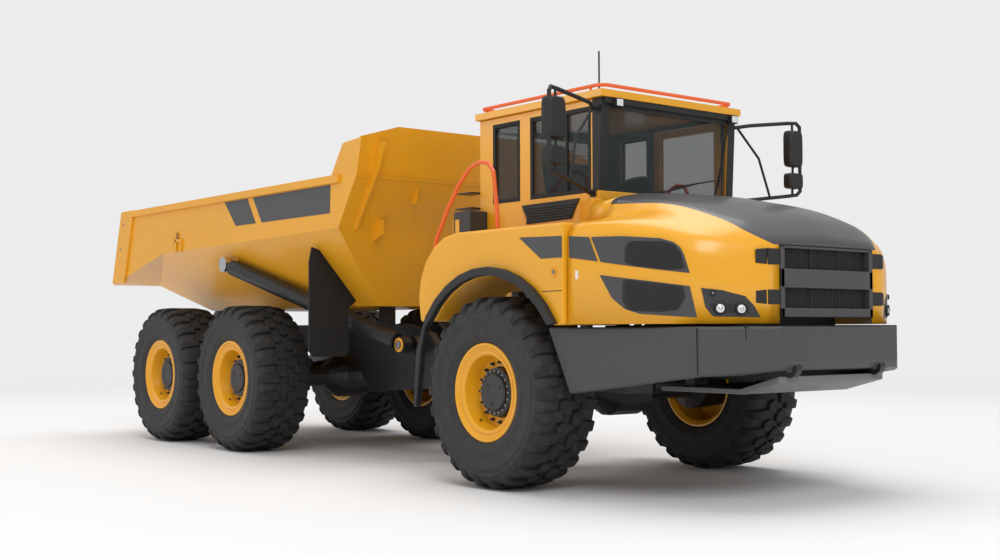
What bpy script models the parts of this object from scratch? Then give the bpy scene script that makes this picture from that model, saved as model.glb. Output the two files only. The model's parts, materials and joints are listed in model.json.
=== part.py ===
"""Articulated dump truck: six wheels, a front unit with the cab and a rear unit with the tipping bed.

Metres, +X forward, +Y left, +Z up. The shapes are written from the front axle's centre on the
ground; the empty "front_chassis" shifts them so that the origin lies under the truck's middle.
"""

import math

import bmesh
import bpy
from mathutils import Matrix, Vector

# ---------------------------------------------------------------- driving dimensions
FRONT_OVERHANG = 2.35
AXLE_TO_BOGIE = 4.38
BOGIE_SPACING = 1.74
REAR_OVERHANG = 1.55
HITCH_X = -1.26
HITCH_Z = 0.86
SEAT_GAP = 0.0003          # between faces that touch
INSET = 0.004              # keeps the faces of joined members from lying in one plane
RUN_GAP = 0.008            # between pieces that move past each other

TYRE_RADIUS = 0.775
TYRE_WIDTH = 0.617
TRACK = 2.47
RIM_RADIUS = 0.358         # where the tyre's bead sits
RIM_FLANGE = 0.387
DISC_DEPTH = 0.17          # wheel disc's inner face, outward from the wheel's middle
HUB_RADIUS = 0.20
AXLE_RADIUS = 0.11
SEAT_RISE = 0.012          # bogie seats, above the axle tube
WHEEL_STEPS = 24

RAIL_Y = 0.46              # outer face of a frame rail
RAIL_WALL = 0.08
FRONT_RAIL = (TYRE_RADIUS + AXLE_RADIUS + 0.015, 1.12)    # bottom and top of the front rails
REAR_RAIL_TOP = 1.34

CAB_REAR = -0.95
CAB_HALF = 0.80
CAB_FLOOR = 1.62
CAB_TOP = 3.15
CAB_WALL = 0.05
WINDSHIELD_X = 0.56        # cab's front face at its floor
WINDSHIELD_LEAN = 0.055    # forward run for each metre of height
ROOF_TOP = 3.21
GLASS = 0.012
SILL = 2.40
HEADER = 3.08

FENDER = (CAB_HALF + 0.06, 1.46)    # inner and outer face
FENDER_TOP = 2.09
FENDER_REAR_Z = 1.35       # lower end of the fender behind the wheel
ARCH_RADIUS = 0.94
FLARE = 0.07
SEAM_X = 0.90              # fender's front edge, where the hood begins

SIDE_WINDOWS = {"side": (-0.24, 0.50), "quarter": (-0.75, -0.40)}
DOOR = (-0.30, 0.52, 2.14, 3.11)    # rear and front edge, bottom and top
DOOR_GAP = 0.006
HINGE_Y = CAB_HALF + 0.022
FRONT_WINDOW = (-0.72, 0.72)
REAR_WINDOW = (-0.62, 0.62)

BUMPER_TOP = 1.295
BUMPER_WALL = 0.08
HOOD_BOTTOM = 1.315
HOOD_WALL = 0.05
COWL_X = 0.665             # rear edge of the raised middle of the hood
HOOD_PIVOT = (2.20, HOOD_BOTTOM + 0.03)

BED_HALF = 1.43
BED_WALL = 0.03
FLOOR_HALF = 0.80
FLOOR_Z = 1.52
BED_TOP = 2.75
CHINE_Z = 2.25
TIP_X = 0.63               # tipping axis, behind the rear axle
TIP_Z = 1.42

# ---------------------------------------------------------------- derived places
MIDDLE_AXLE_X = -AXLE_TO_BOGIE
REAR_AXLE_X = MIDDLE_AXLE_X - BOGIE_SPACING
REAR_END = REAR_AXLE_X - REAR_OVERHANG
FRONT_AXLE_X = (FRONT_OVERHANG - REAR_END) / 2 - FRONT_OVERHANG
AXLE_Z = TYRE_RADIUS
TIP_AXIS_X = REAR_AXLE_X - TIP_X
HOIST_FOOT = Vector((-2.33, 0.66, 1.135))
HOIST_HEAD = Vector((MIDDLE_AXLE_X - 0.32, BED_HALF - 0.045, 2.00))
FLAP_X = HOIST_FOOT.x - 0.58        # mud flaps, which the hoist cylinders pass on their inner side
HOIST_EYE = 0.085          # radius of a hoist cylinder's eyes, ball-shaped on their inner side
STEER_FOOT = Vector((-0.20, 0.72, HITCH_Z))
STEER_HEAD = Vector((-1.50, 0.44, HITCH_Z))
WHEEL_FACET = 1 / math.cos(math.pi / WHEEL_STEPS)

# name: colour, roughness, metallic
PAINTS = {
    "yellow_paint": ((0.90, 0.47, 0.02), 0.35, 0.0),
    "grey_paint": ((0.09, 0.09, 0.10), 0.45, 0.0),
    "black_paint": ((0.02, 0.02, 0.022), 0.5, 0.0),
    "orange_paint": ((0.85, 0.16, 0.03), 0.4, 0.0),
    "black_plastic": ((0.015, 0.015, 0.015), 0.6, 0.0),
    "tyre_rubber": ((0.03, 0.03, 0.032), 0.85, 0.0),
    "tinted_glass": ((0.10, 0.14, 0.15), 0.05, 0.0),
    "polished_steel": ((0.6, 0.6, 0.62), 0.2, 1.0),
    "seat_fabric": ((0.05, 0.05, 0.06), 0.9, 0.0),
}

for leftover in list(bpy.data.objects):
    bpy.data.objects.remove(leftover)

truck = bpy.data.collections.new("articulated_dump_truck")
bpy.context.scene.collection.children.link(truck)


def make_material(name):
    colour, roughness, metallic = PAINTS[name]
    material = bpy.data.materials.new(name)
    material.use_nodes = True
    shader = material.node_tree.nodes["Principled BSDF"]
    shader.inputs["Base Color"].default_value = (*colour, 1)
    shader.inputs["Roughness"].default_value = roughness
    shader.inputs["Metallic"].default_value = metallic
    return material


materials = {name: make_material(name) for name in PAINTS}


# ---------------------------------------------------------------- shape helpers
def bake(source):
    """Replaces an object, with its modifiers or its curve, by a plain closed mesh object."""
    bpy.context.view_layer.update()
    graph = bpy.context.evaluated_depsgraph_get()
    mesh = bpy.data.meshes.new_from_object(source.evaluated_get(graph), depsgraph=graph)
    mesh.transform(source.matrix_world)
    bpy.data.objects.remove(source)
    work = bmesh.new()
    work.from_mesh(mesh)
    bmesh.ops.remove_doubles(work, verts=work.verts, dist=1e-5)
    bmesh.ops.recalc_face_normals(work, faces=work.faces)
    work.to_mesh(mesh)
    work.free()
    return link(mesh)


def link(mesh):
    solid = bpy.data.objects.new(mesh.name, mesh)
    truck.objects.link(solid)
    return solid


def box(x, y, z):
    """A block between the low and high value of each axis."""
    work = bmesh.new()
    bmesh.ops.create_cube(work, size=1)
    size = Vector((x[1] - x[0], y[1] - y[0], z[1] - z[0]))
    centre = Vector((x[0] + x[1], y[0] + y[1], z[0] + z[1])) / 2
    bmesh.ops.scale(work, vec=size, verts=work.verts)
    bmesh.ops.translate(work, vec=centre, verts=work.verts)
    mesh = bpy.data.meshes.new("block")
    work.to_mesh(mesh)
    work.free()
    return link(mesh)


PLANES = {
    "XZ": ((1, 0, 0), (0, 0, 1), (0, -1, 0)),
    "XY": ((1, 0, 0), (0, 1, 0), (0, 0, 1)),
    "YZ": ((0, 1, 0), (0, 0, 1), (1, 0, 0)),
}


def plate(outline, plane, low, high):
    """A flat outline drawn in a plane, from low to high along the third axis."""
    curve = bpy.data.curves.new("outline", "CURVE")
    curve.dimensions = "2D"
    curve.fill_mode = "BOTH"
    curve.extrude = (high - low) / 2
    spline = curve.splines.new("POLY")
    spline.points.add(len(outline) - 1)
    for point, (u, v) in zip(spline.points, outline):
        point.co = (u, v, 0, 1)
    spline.use_cyclic_u = True
    drawn = bpy.data.objects.new("outline", curve)
    truck.objects.link(drawn)
    columns = [Vector(column) for column in PLANES[plane]]
    turn = Matrix([[column[row] for column in columns] for row in range(3)]).to_4x4()
    middle = Vector([abs(part) for part in columns[2]]) * (low + high) / 2
    drawn.matrix_world = Matrix.Translation(middle) @ turn
    return bake(drawn)


def turned(profile, centre, direction, steps=16):
    """A profile of (radius, height) pairs turned about a line through centre along direction."""
    mesh = bpy.data.meshes.new("profile")
    edges = [(index, index + 1) for index in range(len(profile) - 1)]
    if profile[0][0] > 0:
        edges.append((len(profile) - 1, 0))
    mesh.from_pydata([(radius, 0, height) for radius, height in profile], edges, [])
    lathe = link(mesh)
    screw = lathe.modifiers.new("turn", "SCREW")
    screw.steps = screw.render_steps = steps
    screw.use_merge_vertices = True
    screw.merge_threshold = 1e-5
    half_step = Matrix.Rotation(math.pi / steps, 4, "Z")
    aim = Vector(direction).to_track_quat("Z", "Y").to_matrix().to_4x4()
    lathe.matrix_world = Matrix.Translation(Vector(centre)) @ aim @ half_step
    return bake(lathe)


def rod(start, end, radius, steps=12):
    """A round bar from one point to another."""
    start, end = Vector(start), Vector(end)
    length = (end - start).length
    return turned([(0, 0), (radius, 0), (radius, length), (0, length)], start, end - start, steps)


def tube(points, radius, closed=False):
    """A bent tube or bar along its points."""
    curve = bpy.data.curves.new("tube", "CURVE")
    curve.dimensions = "3D"
    curve.bevel_depth = radius
    curve.bevel_resolution = 2
    curve.use_fill_caps = True
    spline = curve.splines.new("POLY")
    spline.points.add(len(points) - 1)
    for point, place in zip(spline.points, points):
        point.co = (*place, 1)
    spline.use_cyclic_u = closed
    drawn = bpy.data.objects.new("tube", curve)
    truck.objects.link(drawn)
    return bake(drawn)


def combine(operation, first, *others, solver="EXACT"):
    """Joins, cuts or intersects solids into one."""
    for index, other in enumerate(others):
        change = first.modifiers.new(f"{operation}_{index}", "BOOLEAN")
        change.operation = operation
        change.solver = solver
        change.object = other
    result = bake(first)
    for other in others:
        bpy.data.objects.remove(other)
    return result


def union(first, *others, solver="EXACT"):
    return combine("UNION", first, *others, solver=solver)


def cut(first, *others, solver="EXACT"):
    return combine("DIFFERENCE", first, *others, solver=solver)


def mirrored(solid):
    """A copy on the truck's other side."""
    mesh = solid.data.copy()
    mesh.transform(Matrix.Scale(-1, 4, (0, 1, 0)))
    mesh.flip_normals()
    return link(mesh)


def both(solid):
    """The solid and its copy on the other side, joined by a later union."""
    return solid, mirrored(solid)


def loft(sections, mirrored_ends=False):
    """A closed solid through sections of points. Ends that mirror left to right close in strips."""
    work = bmesh.new()
    rings = [[work.verts.new(point) for point in section] for section in sections]
    for near, far in zip(rings, rings[1:]):
        for index in range(len(near)):
            after = (index + 1) % len(near)
            work.faces.new((near[index], near[after], far[after], far[index]))
    for ring in (rings[0], rings[-1]):
        if mirrored_ends:
            for low in range(len(ring) // 2 - 1):
                work.faces.new((ring[low], ring[low + 1], ring[-2 - low], ring[-1 - low]))
        else:
            work.faces.new(ring)
    bmesh.ops.triangulate(work, faces=work.faces)
    bmesh.ops.recalc_face_normals(work, faces=work.faces)
    mesh = bpy.data.meshes.new("loft")
    work.to_mesh(mesh)
    work.free()
    return link(mesh)


def leaned(solid):
    """The solid sheared forward with height, as the windshield leans."""
    shear = Matrix.Identity(4)
    shear[0][2] = WINDSHIELD_LEAN
    shear[0][3] = -WINDSHIELD_LEAN * CAB_FLOOR
    solid.data.transform(shear)
    return solid


def arc(centre, radius, start, end, count):
    """Points along an arc in degrees, counted from the first axis to the second."""
    angles = [math.radians(start + (end - start) * step / count) for step in range(count + 1)]
    return [(centre[0] + radius * math.cos(a), centre[1] + radius * math.sin(a)) for a in angles]


# ---------------------------------------------------------------- bodies and their axes
pivots = {}


def body(name, parent, pivot):
    """An empty on a moving body's joint axis."""
    empty = bpy.data.objects.new(f"{name}_axis", None)
    empty.empty_display_size = 0.2
    truck.objects.link(empty)
    pivot = Vector(pivot)
    if parent:
        empty.parent = pivots[parent][0]
        empty.location = pivot - pivots[parent][1]
    else:
        empty.location = pivot + Vector((FRONT_AXLE_X, 0, 0))
    pivots[name] = (empty, pivot)


def piece(name, solid, on, paint):
    """Names a finished solid and hangs it on its body."""
    empty, pivot = pivots[on]
    solid.name = solid.data.name = name
    solid.data.transform(Matrix.Translation(-pivot))
    work = bmesh.new()
    work.from_mesh(solid.data)
    bmesh.ops.triangulate(work, faces=work.faces, quad_method="BEAUTY", ngon_method="BEAUTY")
    work.to_mesh(solid.data)
    work.free()
    solid.data.materials.clear()
    solid.data.materials.append(materials[paint])
    solid.data.shade_smooth()
    solid.data.set_sharp_from_angle(angle=math.radians(30))
    solid.parent = empty


AXLES = {"front": 0.0, "middle": MIDDLE_AXLE_X, "rear": REAR_AXLE_X}
SIDES = {"left": 1, "right": -1}

body("front_chassis", None, (0, 0, 0))
body("hitch", "front_chassis", (HITCH_X, 0, HITCH_Z))
body("rear_chassis", "hitch", (-1.80, 0, HITCH_Z))
body("bed", "rear_chassis", (TIP_AXIS_X, 0, TIP_Z))
body("hood", "front_chassis", (HOOD_PIVOT[0], 0, HOOD_PIVOT[1]))
body("door", "front_chassis", (DOOR[1], HINGE_Y, SILL))
for axle, axle_x in AXLES.items():
    for side, sign in SIDES.items():
        carrier = "front_chassis" if axle == "front" else "rear_chassis"
        body(f"{axle}_{side}_wheel", carrier, (axle_x, sign * TRACK / 2, AXLE_Z))
for side, sign in SIDES.items():
    flip = Vector((1, sign, 1))
    body(f"{side}_hoist_barrel", "rear_chassis", HOIST_FOOT * flip)
    body(f"{side}_hoist_rod", f"{side}_hoist_barrel", HOIST_HEAD * flip)
    body(f"{side}_steering_barrel", "front_chassis", STEER_FOOT * flip)
    body(f"{side}_steering_rod", f"{side}_steering_barrel", STEER_HEAD * flip)


# ---------------------------------------------------------------- wheels
def make_wheels():
    half = TYRE_WIDTH / 2
    bead = RIM_FLANGE - RIM_RADIUS
    tyre_profile = [
        (RIM_RADIUS + SEAT_GAP, -half + 0.075), (RIM_FLANGE + 0.06, -half + 0.02),
        (0.62, -half), (0.74, -half + 0.035), (TYRE_RADIUS * WHEEL_FACET, -half + 0.09),
        (TYRE_RADIUS * WHEEL_FACET, half - 0.09), (0.74, half - 0.035), (0.62, half),
        (RIM_FLANGE + 0.06, half - 0.02), (RIM_RADIUS + SEAT_GAP, half - 0.075),
    ]
    rim_profile = [
        (0, DISC_DEPTH), (0.325, DISC_DEPTH - 0.03), (0.335, -half + 0.04),
        (RIM_RADIUS + bead, -half + 0.045), (RIM_RADIUS, -half + 0.0744),
        (RIM_RADIUS, half - 0.0744), (RIM_FLANGE, half - 0.045), (0.345, half - 0.04),
        (0.31, DISC_DEPTH + 0.03), (0.16, DISC_DEPTH + 0.03), (0.13, DISC_DEPTH + 0.09),
        (0, DISC_DEPTH + 0.10),
    ]
    for axle, axle_x in AXLES.items():
        for side, sign in SIDES.items():
            centre = (axle_x, sign * TRACK / 2, AXLE_Z)
            on = f"{axle}_{side}_wheel"
            outward = (0, sign, 0)
            tyre = turned(tyre_profile, centre, outward, WHEEL_STEPS)
            piece(f"{axle}_{side}_tyre", tyre, on, "tyre_rubber")
            rim = turned(rim_profile, centre, outward, WHEEL_STEPS)
            piece(f"{axle}_{side}_rim", rim, on, "yellow_paint")


def axle_solid(axle_x):
    """An axle housing: hub ends, tubes and the differential's bulge."""
    end = TRACK / 2 + DISC_DEPTH - 0.03 - SEAT_GAP
    hub_start = TRACK / 2 - TYRE_WIDTH / 2 - 0.04
    half_profile = [
        (0, end), (HUB_RADIUS, end), (HUB_RADIUS + 0.02, hub_start),
        (AXLE_RADIUS + 0.01, hub_start - 0.05), (AXLE_RADIUS, 0.34), (0.24, 0.17),
    ]
    profile = half_profile + [(radius, -height) for radius, height in reversed(half_profile)]
    return turned(profile, (axle_x, 0, AXLE_Z), (0, 1, 0), 16)


# ---------------------------------------------------------------- front chassis
def make_front_frame():
    low, high = FRONT_RAIL
    inner = RAIL_Y - RAIL_WALL
    rail = box((-1.05, 2.10), (inner, RAIL_Y), (low, high))
    post_y = (inner + INSET, RAIL_Y - INSET)
    post_bottom = high - 0.05
    bumper_mount = box((2.06, FRONT_OVERHANG - BUMPER_WALL - SEAT_GAP), (0.30, 0.42), (0.98, 1.10))
    rear_post = box((-0.93, -0.83), post_y, (post_bottom, CAB_FLOOR - SEAT_GAP))
    front_post = box((0.42, 0.52), post_y, (post_bottom, CAB_FLOOR - SEAT_GAP))
    hood_post = box((0.76, 0.84), post_y, (post_bottom, 1.55))
    arms = [box(x, (inner + 0.02, FENDER[0] - SEAT_GAP), (1.42, 1.50))
            for x in ((-0.92, -0.85), (0.77, 0.83))]
    steer_ear = box(
        (STEER_FOOT.x - 0.06, STEER_FOOT.x + 0.06), (inner + 0.02, STEER_FOOT.y + 0.05),
        (HITCH_Z + 0.07, HITCH_Z + 0.13),
    )
    halves = [rail, bumper_mount, rear_post, front_post, hood_post, *arms, steer_ear]
    pairs = [solid for half in halves for solid in both(half)]
    cross_y = (INSET - RAIL_Y, RAIL_Y - INSET)
    cross = [
        box((2.02, 2.10 - INSET), cross_y, (low + INSET, high - INSET)),
        box((0.74, 0.86), cross_y, (low + INSET, high - INSET)),
        box((INSET - 1.05, -0.87), cross_y, (0.66, high - INSET)),
    ]
    lugs = []
    for z in ((HITCH_Z - 0.24, HITCH_Z - 0.16), (HITCH_Z + 0.16, HITCH_Z + 0.24)):
        lugs.append(box((HITCH_X, -0.90), (-0.15, 0.15), (z[0] + INSET, z[1] - INSET)))
        lugs.append(turned([(0, z[0]), (0.16, z[0]), (0.16, z[1]), (0, z[1])],
                           (HITCH_X, 0, 0), (0, 0, 1)))
    frame = union(cross[0], *cross[1:], *pairs, *lugs)
    piece("front_frame", frame, "front_chassis", "black_paint")


def make_front_axle():
    pad = box((-0.08, 0.08), (RAIL_Y - RAIL_WALL, RAIL_Y), (AXLE_Z, FRONT_RAIL[0] - SEAT_GAP))
    axle = union(axle_solid(0.0), *both(pad))
    piece("front_axle", axle, "front_chassis", "black_paint")


def make_engine():
    block = box((1.00, 1.95), (-RAIL_Y, RAIL_Y), (FRONT_RAIL[1] + SEAT_GAP, 1.82))
    piece("engine_block", block, "front_chassis", "black_paint")


BUMPER_LIP = ((0.87, 0.79), (2.05, 0.95))    # x and z along its lower edge


def bumper_bottom(x):
    (rear_x, rear_z), (front_x, front_z) = BUMPER_LIP
    return rear_z + (front_z - rear_z) * (x - rear_x) / (front_x - rear_x)


def make_bumper():
    half_plan = [(0.60, 1.42), (2.0, 1.18), (FRONT_OVERHANG, 0.68)]
    inner_plan = [(0.60, 1.42 - BUMPER_WALL), (1.96, 1.18 - BUMPER_WALL),
                  (FRONT_OVERHANG - BUMPER_WALL, 0.64)]
    outer = half_plan + [(x, -y) for x, y in reversed(half_plan)]
    inner = [(x, -y) for x, y in inner_plan] + list(reversed(inner_plan))
    plan = plate(outer + inner, "XY", 0.70, 1.40)
    side = [(0.66, BUMPER_TOP), (2.40, BUMPER_TOP), (2.40, 1.08), (2.30, 0.98),
            *reversed(BUMPER_LIP)]
    profile = plate(side, "XZ", -1.6, 1.6)
    bumper = combine("INTERSECT", plan, profile)
    piece("front_bumper", bumper, "front_chassis", "grey_paint")


def make_skid_plate():
    side = [(2.26, 0.94), (2.26, 0.89), (1.92, 0.80), (1.10, 0.80), (1.10, 0.84), (1.90, 0.84)]
    skid = plate(side, "XZ", -0.62, 0.62)
    boss = box((1.2, 1.3), (RAIL_Y - RAIL_WALL, RAIL_Y), (0.82, FRONT_RAIL[0] - SEAT_GAP))
    piece("skid_plate", union(skid, *both(boss)), "front_chassis", "grey_paint")


def make_fenders():
    arch_front = math.degrees(math.asin((1.31 - AXLE_Z) / ARCH_RADIUS))
    arch_rear = math.degrees(math.asin((FENDER_REAR_Z - AXLE_Z) / ARCH_RADIUS))
    arch = arc((0, AXLE_Z), ARCH_RADIUS, 180 - arch_rear, arch_front, 10)
    rear_curve = arc((-0.44, FENDER_TOP - 0.54), 0.54, 90, 180, 5)
    outline = [(SEAM_X, 1.31), (SEAM_X, FENDER_TOP), *rear_curve, (-0.95, FENDER_REAR_Z), *arch]
    flare_outline = [
        *arc((0, AXLE_Z), ARCH_RADIUS, 180 - arch_rear, arch_front, 10),
        *arc((0, AXLE_Z), ARCH_RADIUS + FLARE, arch_front - 2, 180 - arch_rear, 10),
        (-0.93, 1.10), (-0.97, 0.62), (-0.93, 0.62), (-0.86, 1.10), (-0.80, 1.30),
    ]
    for side, sign in SIDES.items():
        inner, outer = sorted((sign * FENDER[0], sign * FENDER[1]))
        fender = plate(outline, "XZ", inner, outer)
        piece(f"front_fender_{side}", fender, "front_chassis", "yellow_paint")
        low, high = sorted((sign * (FENDER[1] + SEAT_GAP), sign * (FENDER[1] + 0.06)))
        flare = plate(flare_outline, "XZ", low, high)
        piece(f"fender_flare_{side}", flare, "front_chassis", "grey_paint")


def make_hood():
    """The tilting hood: a shell open below and behind, with a grille in its nose."""
    # x, then y and z of the sill, side, shoulder, shelf, rise, edge and crown
    sections = [
        (0.91, [(1.42, 1.98), (1.36, 2.09), (1.02, 2.13), (0.95, 2.30), (0.64, 2.36), (0, 2.39)]),
        (1.50, [(1.31, 1.95), (1.23, 2.07), (1.00, 2.15), (0.88, 2.23), (0.64, 2.27), (0, 2.30)]),
        (1.92, [(1.14, 1.82), (1.07, 1.94), (0.90, 2.03), (0.78, 2.09), (0.64, 2.12), (0, 2.16)]),
        (2.08, [(0.94, 1.75), (0.89, 1.88), (0.80, 1.95), (0.72, 1.99), (0.62, 2.02), (0, 2.06)]),
        (2.22, [(0.68, 1.72), (0.66, 1.82), (0.63, 1.86), (0.60, 1.89), (0.55, 1.91), (0, 1.93)]),
    ]

    def ring(x, half, inset, bottom):
        crown = [(max(y - inset, 0), z - inset) for y, z in half]
        side = [(crown[0][0], bottom)] + crown
        return [(x, -y, z) for y, z in side] + [(x, y, z) for y, z in reversed(side[:-1])]

    outer = loft([ring(x, half, 0, HOOD_BOTTOM) for x, half in sections])
    inner_x = [0.80] + [x for x, _ in sections[1:-1]] + [sections[-1][0] - HOOD_WALL]
    inner = loft([ring(x, half, HOOD_WALL, HOOD_BOTTOM - 0.2)
                  for x, (_, half) in zip(inner_x, sections)])
    cowl = [(1.005, 2.14), (0.935, 2.285), (0.635, 2.345), (0, 2.375)]
    cowl_room = [(0.95, 2.0), (0.89, 2.24), (0.60, 2.30), (0, 2.33)]
    cowl_outer, cowl_inner = [
        plate([(-y, z) for y, z in half] + [(y, z) for y, z in reversed(half[:-1])], "YZ", *span)
        for half, span in ((cowl, (COWL_X, 0.95)), (cowl_room, (0.60, 1.10)))
    ]
    mouth = box((2.0, 2.4), (-0.55, 0.55), (1.36, 1.88))
    skin = union(outer, cowl_outer, solver="MANIFOLD")
    hood = cut(skin, inner, cowl_inner, mouth, solver="MANIFOLD")
    piece("hood", hood, "hood", "yellow_paint")
    grille = box((2.155, 2.235), (-0.55 + SEAT_GAP, 0.55 - SEAT_GAP),
                 (1.36 + SEAT_GAP, 1.88 - SEAT_GAP))
    piece("grille", grille, "hood", "black_plastic")


# ---------------------------------------------------------------- cab
def make_cab():
    wall = CAB_WALL
    outer = loft([
        [(CAB_REAR, -CAB_HALF, z), (WINDSHIELD_X + WINDSHIELD_LEAN * (z - CAB_FLOOR), -CAB_HALF, z),
         (WINDSHIELD_X + WINDSHIELD_LEAN * (z - CAB_FLOOR), CAB_HALF, z), (CAB_REAR, CAB_HALF, z)]
        for z in (CAB_FLOOR, CAB_TOP)
    ])
    room = leaned(box((CAB_REAR + wall, WINDSHIELD_X - wall), (-CAB_HALF + wall, CAB_HALF - wall),
                      (CAB_FLOOR + wall, CAB_TOP + 0.1)))
    slope_back = loft([
        [(CAB_REAR + wall, -CAB_HALF + wall, z), (-0.6, -CAB_HALF + wall, z),
         (-0.6, CAB_HALF - wall, z), (CAB_REAR + wall, CAB_HALF - wall, z)]
        for z in (CAB_FLOOR + wall, CAB_TOP + 0.1)
    ])
    openings = [
        box((0.4, 0.9), FRONT_WINDOW, (SILL, HEADER)),
        box((CAB_REAR - 0.1, CAB_REAR + 0.1), REAR_WINDOW, (SILL, HEADER)),
        box(SIDE_WINDOWS["side"], (-CAB_HALF - 0.1, -CAB_HALF + 0.1), (SILL, HEADER)),
        box(SIDE_WINDOWS["quarter"], (-CAB_HALF - 0.1, CAB_HALF + 0.1), (SILL, HEADER)),
        box(DOOR[:2], (CAB_HALF - 0.1, CAB_HALF + 0.1), DOOR[2:]),
    ]
    shell = cut(outer, room, slope_back, *openings)
    piece("cab_shell", shell, "front_chassis", "yellow_paint")

    gap = SEAT_GAP
    glass_z = (SILL + gap, HEADER - gap)
    windshield = leaned(box((WINDSHIELD_X - 0.03, WINDSHIELD_X - 0.03 + GLASS),
                            (FRONT_WINDOW[0] + gap, FRONT_WINDOW[1] - gap), glass_z))
    piece("windshield", windshield, "front_chassis", "tinted_glass")
    rear = box((CAB_REAR + 0.02, CAB_REAR + 0.02 + GLASS),
               (REAR_WINDOW[0] + gap, REAR_WINDOW[1] - gap), glass_z)
    piece("rear_window", rear, "front_chassis", "tinted_glass")
    depth = (CAB_HALF - 0.02 - GLASS, CAB_HALF - 0.02)
    for name, window, sign in (("side_window_right", "side", -1),
                               ("quarter_window_right", "quarter", -1),
                               ("quarter_window_left", "quarter", 1)):
        span = (SIDE_WINDOWS[window][0] + gap, SIDE_WINDOWS[window][1] - gap)
        pane = box(span, sorted((sign * depth[0], sign * depth[1])), glass_z)
        piece(name, pane, "front_chassis", "tinted_glass")

    roof = box((-0.97, 0.68), (-CAB_HALF - 0.04, CAB_HALF + 0.04), (CAB_TOP + gap, ROOF_TOP))
    antenna = rod((0.42, -0.62, ROOF_TOP - 0.02), (0.42, -0.62, ROOF_TOP + 0.37), 0.008, 8)
    piece("cab_roof", union(roof, antenna), "front_chassis", "yellow_paint")


def make_door():
    """The left door turns about its front edge; its glass is a fixed pane."""
    rear, front, bottom, top = DOOR
    leaf = box((rear + DOOR_GAP, front - DOOR_GAP), (CAB_HALF - CAB_WALL, CAB_HALF),
               (bottom + DOOR_GAP, top - DOOR_GAP))
    opening = box((rear + 0.08, front - 0.08), (CAB_HALF - 0.2, CAB_HALF + 0.1),
                  (SILL, HEADER - 0.04))
    hinges = [rod((front, HINGE_Y, z), (front, HINGE_Y, z + 0.08), 0.014, 10)
              for z in (2.22, 2.98)]
    hinge_plates = [box((front - 0.07, front - 0.002), (CAB_HALF - 0.01, HINGE_Y),
                        (z + 0.005, z + 0.075)) for z in (2.22, 2.98)]
    handle = box((rear + 0.05, rear + 0.07), (CAB_HALF - 0.01, CAB_HALF + 0.03), (2.22, 2.34))
    door = union(cut(leaf, opening), *hinge_plates, *hinges, handle)
    piece("cab_door", door, "door", "yellow_paint")
    gap = SEAT_GAP
    pane = box((rear + 0.08 + gap, front - 0.08 - gap),
               (CAB_HALF - 0.02 - GLASS, CAB_HALF - 0.02), (SILL + gap, HEADER - 0.04 - gap))
    piece("door_glass", pane, "door", "tinted_glass")


def make_cab_inside():
    floor = CAB_FLOOR + CAB_WALL + SEAT_GAP
    base = box((-0.55, -0.15), (-0.20, 0.20), (floor, 2.05))
    cushion = box((-0.60, -0.08), (-0.27, 0.27), (2.03, 2.17))
    back = loft([[(x - 0.06, -0.25, z), (x + 0.07, -0.25, z), (x + 0.07, 0.25, z),
                  (x - 0.06, 0.25, z)] for x, z in ((-0.55, 2.10), (-0.68, 2.80))])
    piece("operator_seat", union(base, cushion, back), "front_chassis", "seat_fabric")
    console = box((0.30, 0.505), (-0.55, 0.55), (floor, 2.34))
    column = rod((0.40, 0, 2.06), (0.165, 0, 2.49), 0.03, 10)
    wheel = turned([(0.0, 0.0), (0.20, 0.0), (0.20, 0.03), (0.0, 0.03)],
                   (0.17, 0, 2.48), (-0.19, 0, 0.38), 16)
    piece("steering_console", union(console, column, wheel), "front_chassis", "black_plastic")


def make_roof_rail():
    z = ROOF_TOP + 0.045
    corners = [(-0.90, 0.79), (0.58, 0.79), (0.63, 0.74), (0.63, -0.74), (0.58, -0.79),
               (-0.90, -0.79), (-0.94, -0.75), (-0.94, 0.75)]
    loop = tube([(x, y, z) for x, y in corners], 0.016, closed=True)
    posts = [rod((x, y, ROOF_TOP + SEAT_GAP), (x, y, z), 0.012, 8)
             for x in (-0.80, 0.50) for y in (-0.79, 0.79)]
    piece("roof_rail", union(loop, *posts), "front_chassis", "orange_paint")


def make_mirrors():
    near, bend = CAB_HALF + 0.05, CAB_HALF + 0.17
    for side, sign in SIDES.items():
        frame = tube([(x, sign * y, z) for x, y, z in (
            (0.60, CAB_HALF + SEAT_GAP, 3.06), (0.60, near, 3.06), (0.68, bend, 3.08),
            (0.78, 1.46, 3.14), (0.80, 1.50, 3.10), (0.80, 1.50, 2.52), (0.78, 1.45, 2.48),
            (0.58, bend, 2.42), (0.54, near, 2.38), (0.54, CAB_HALF + SEAT_GAP, 2.38))], 0.018)
        heads = [box((0.74, 0.84), sorted((sign * 1.34, sign * 1.545)), z)
                 for z in ((2.74, 3.06), (2.54, 2.68))]
        piece(f"mirror_{side}", union(frame, *heads), "front_chassis", "black_plastic")


def make_grab_rails():
    """Looped rails from the fender's rear edge to its deck; the left one ends short of the door."""
    foot_x, foot_z, y = -0.98 - SEAT_GAP, 1.47, 1.30
    back_x = foot_x - 0.055
    # run forward of the rail's back, and height
    loop = [(0, 1.60), (0.025, 1.80), (0.105, 2.06), (0.265, 2.31), (0.435, 2.52), (0.585, 2.64),
            (0.715, 2.68), (0.835, 2.66), (0.905, 2.58), (0.935, 2.36), (0.955, 2.20),
            (0.955, FENDER_TOP + SEAT_GAP)]
    for side, reach in (("left", 0.72), ("right", 1.0)):
        path = [(foot_x, foot_z), (back_x + 0.015, foot_z), (back_x, foot_z + 0.03)]
        path += [(back_x + run * reach, z) for run, z in loop]
        rail = tube([(x, SIDES[side] * y, z) for x, z in path], 0.018)
        piece(f"grab_rail_{side}", rail, "front_chassis", "orange_paint")


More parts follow.
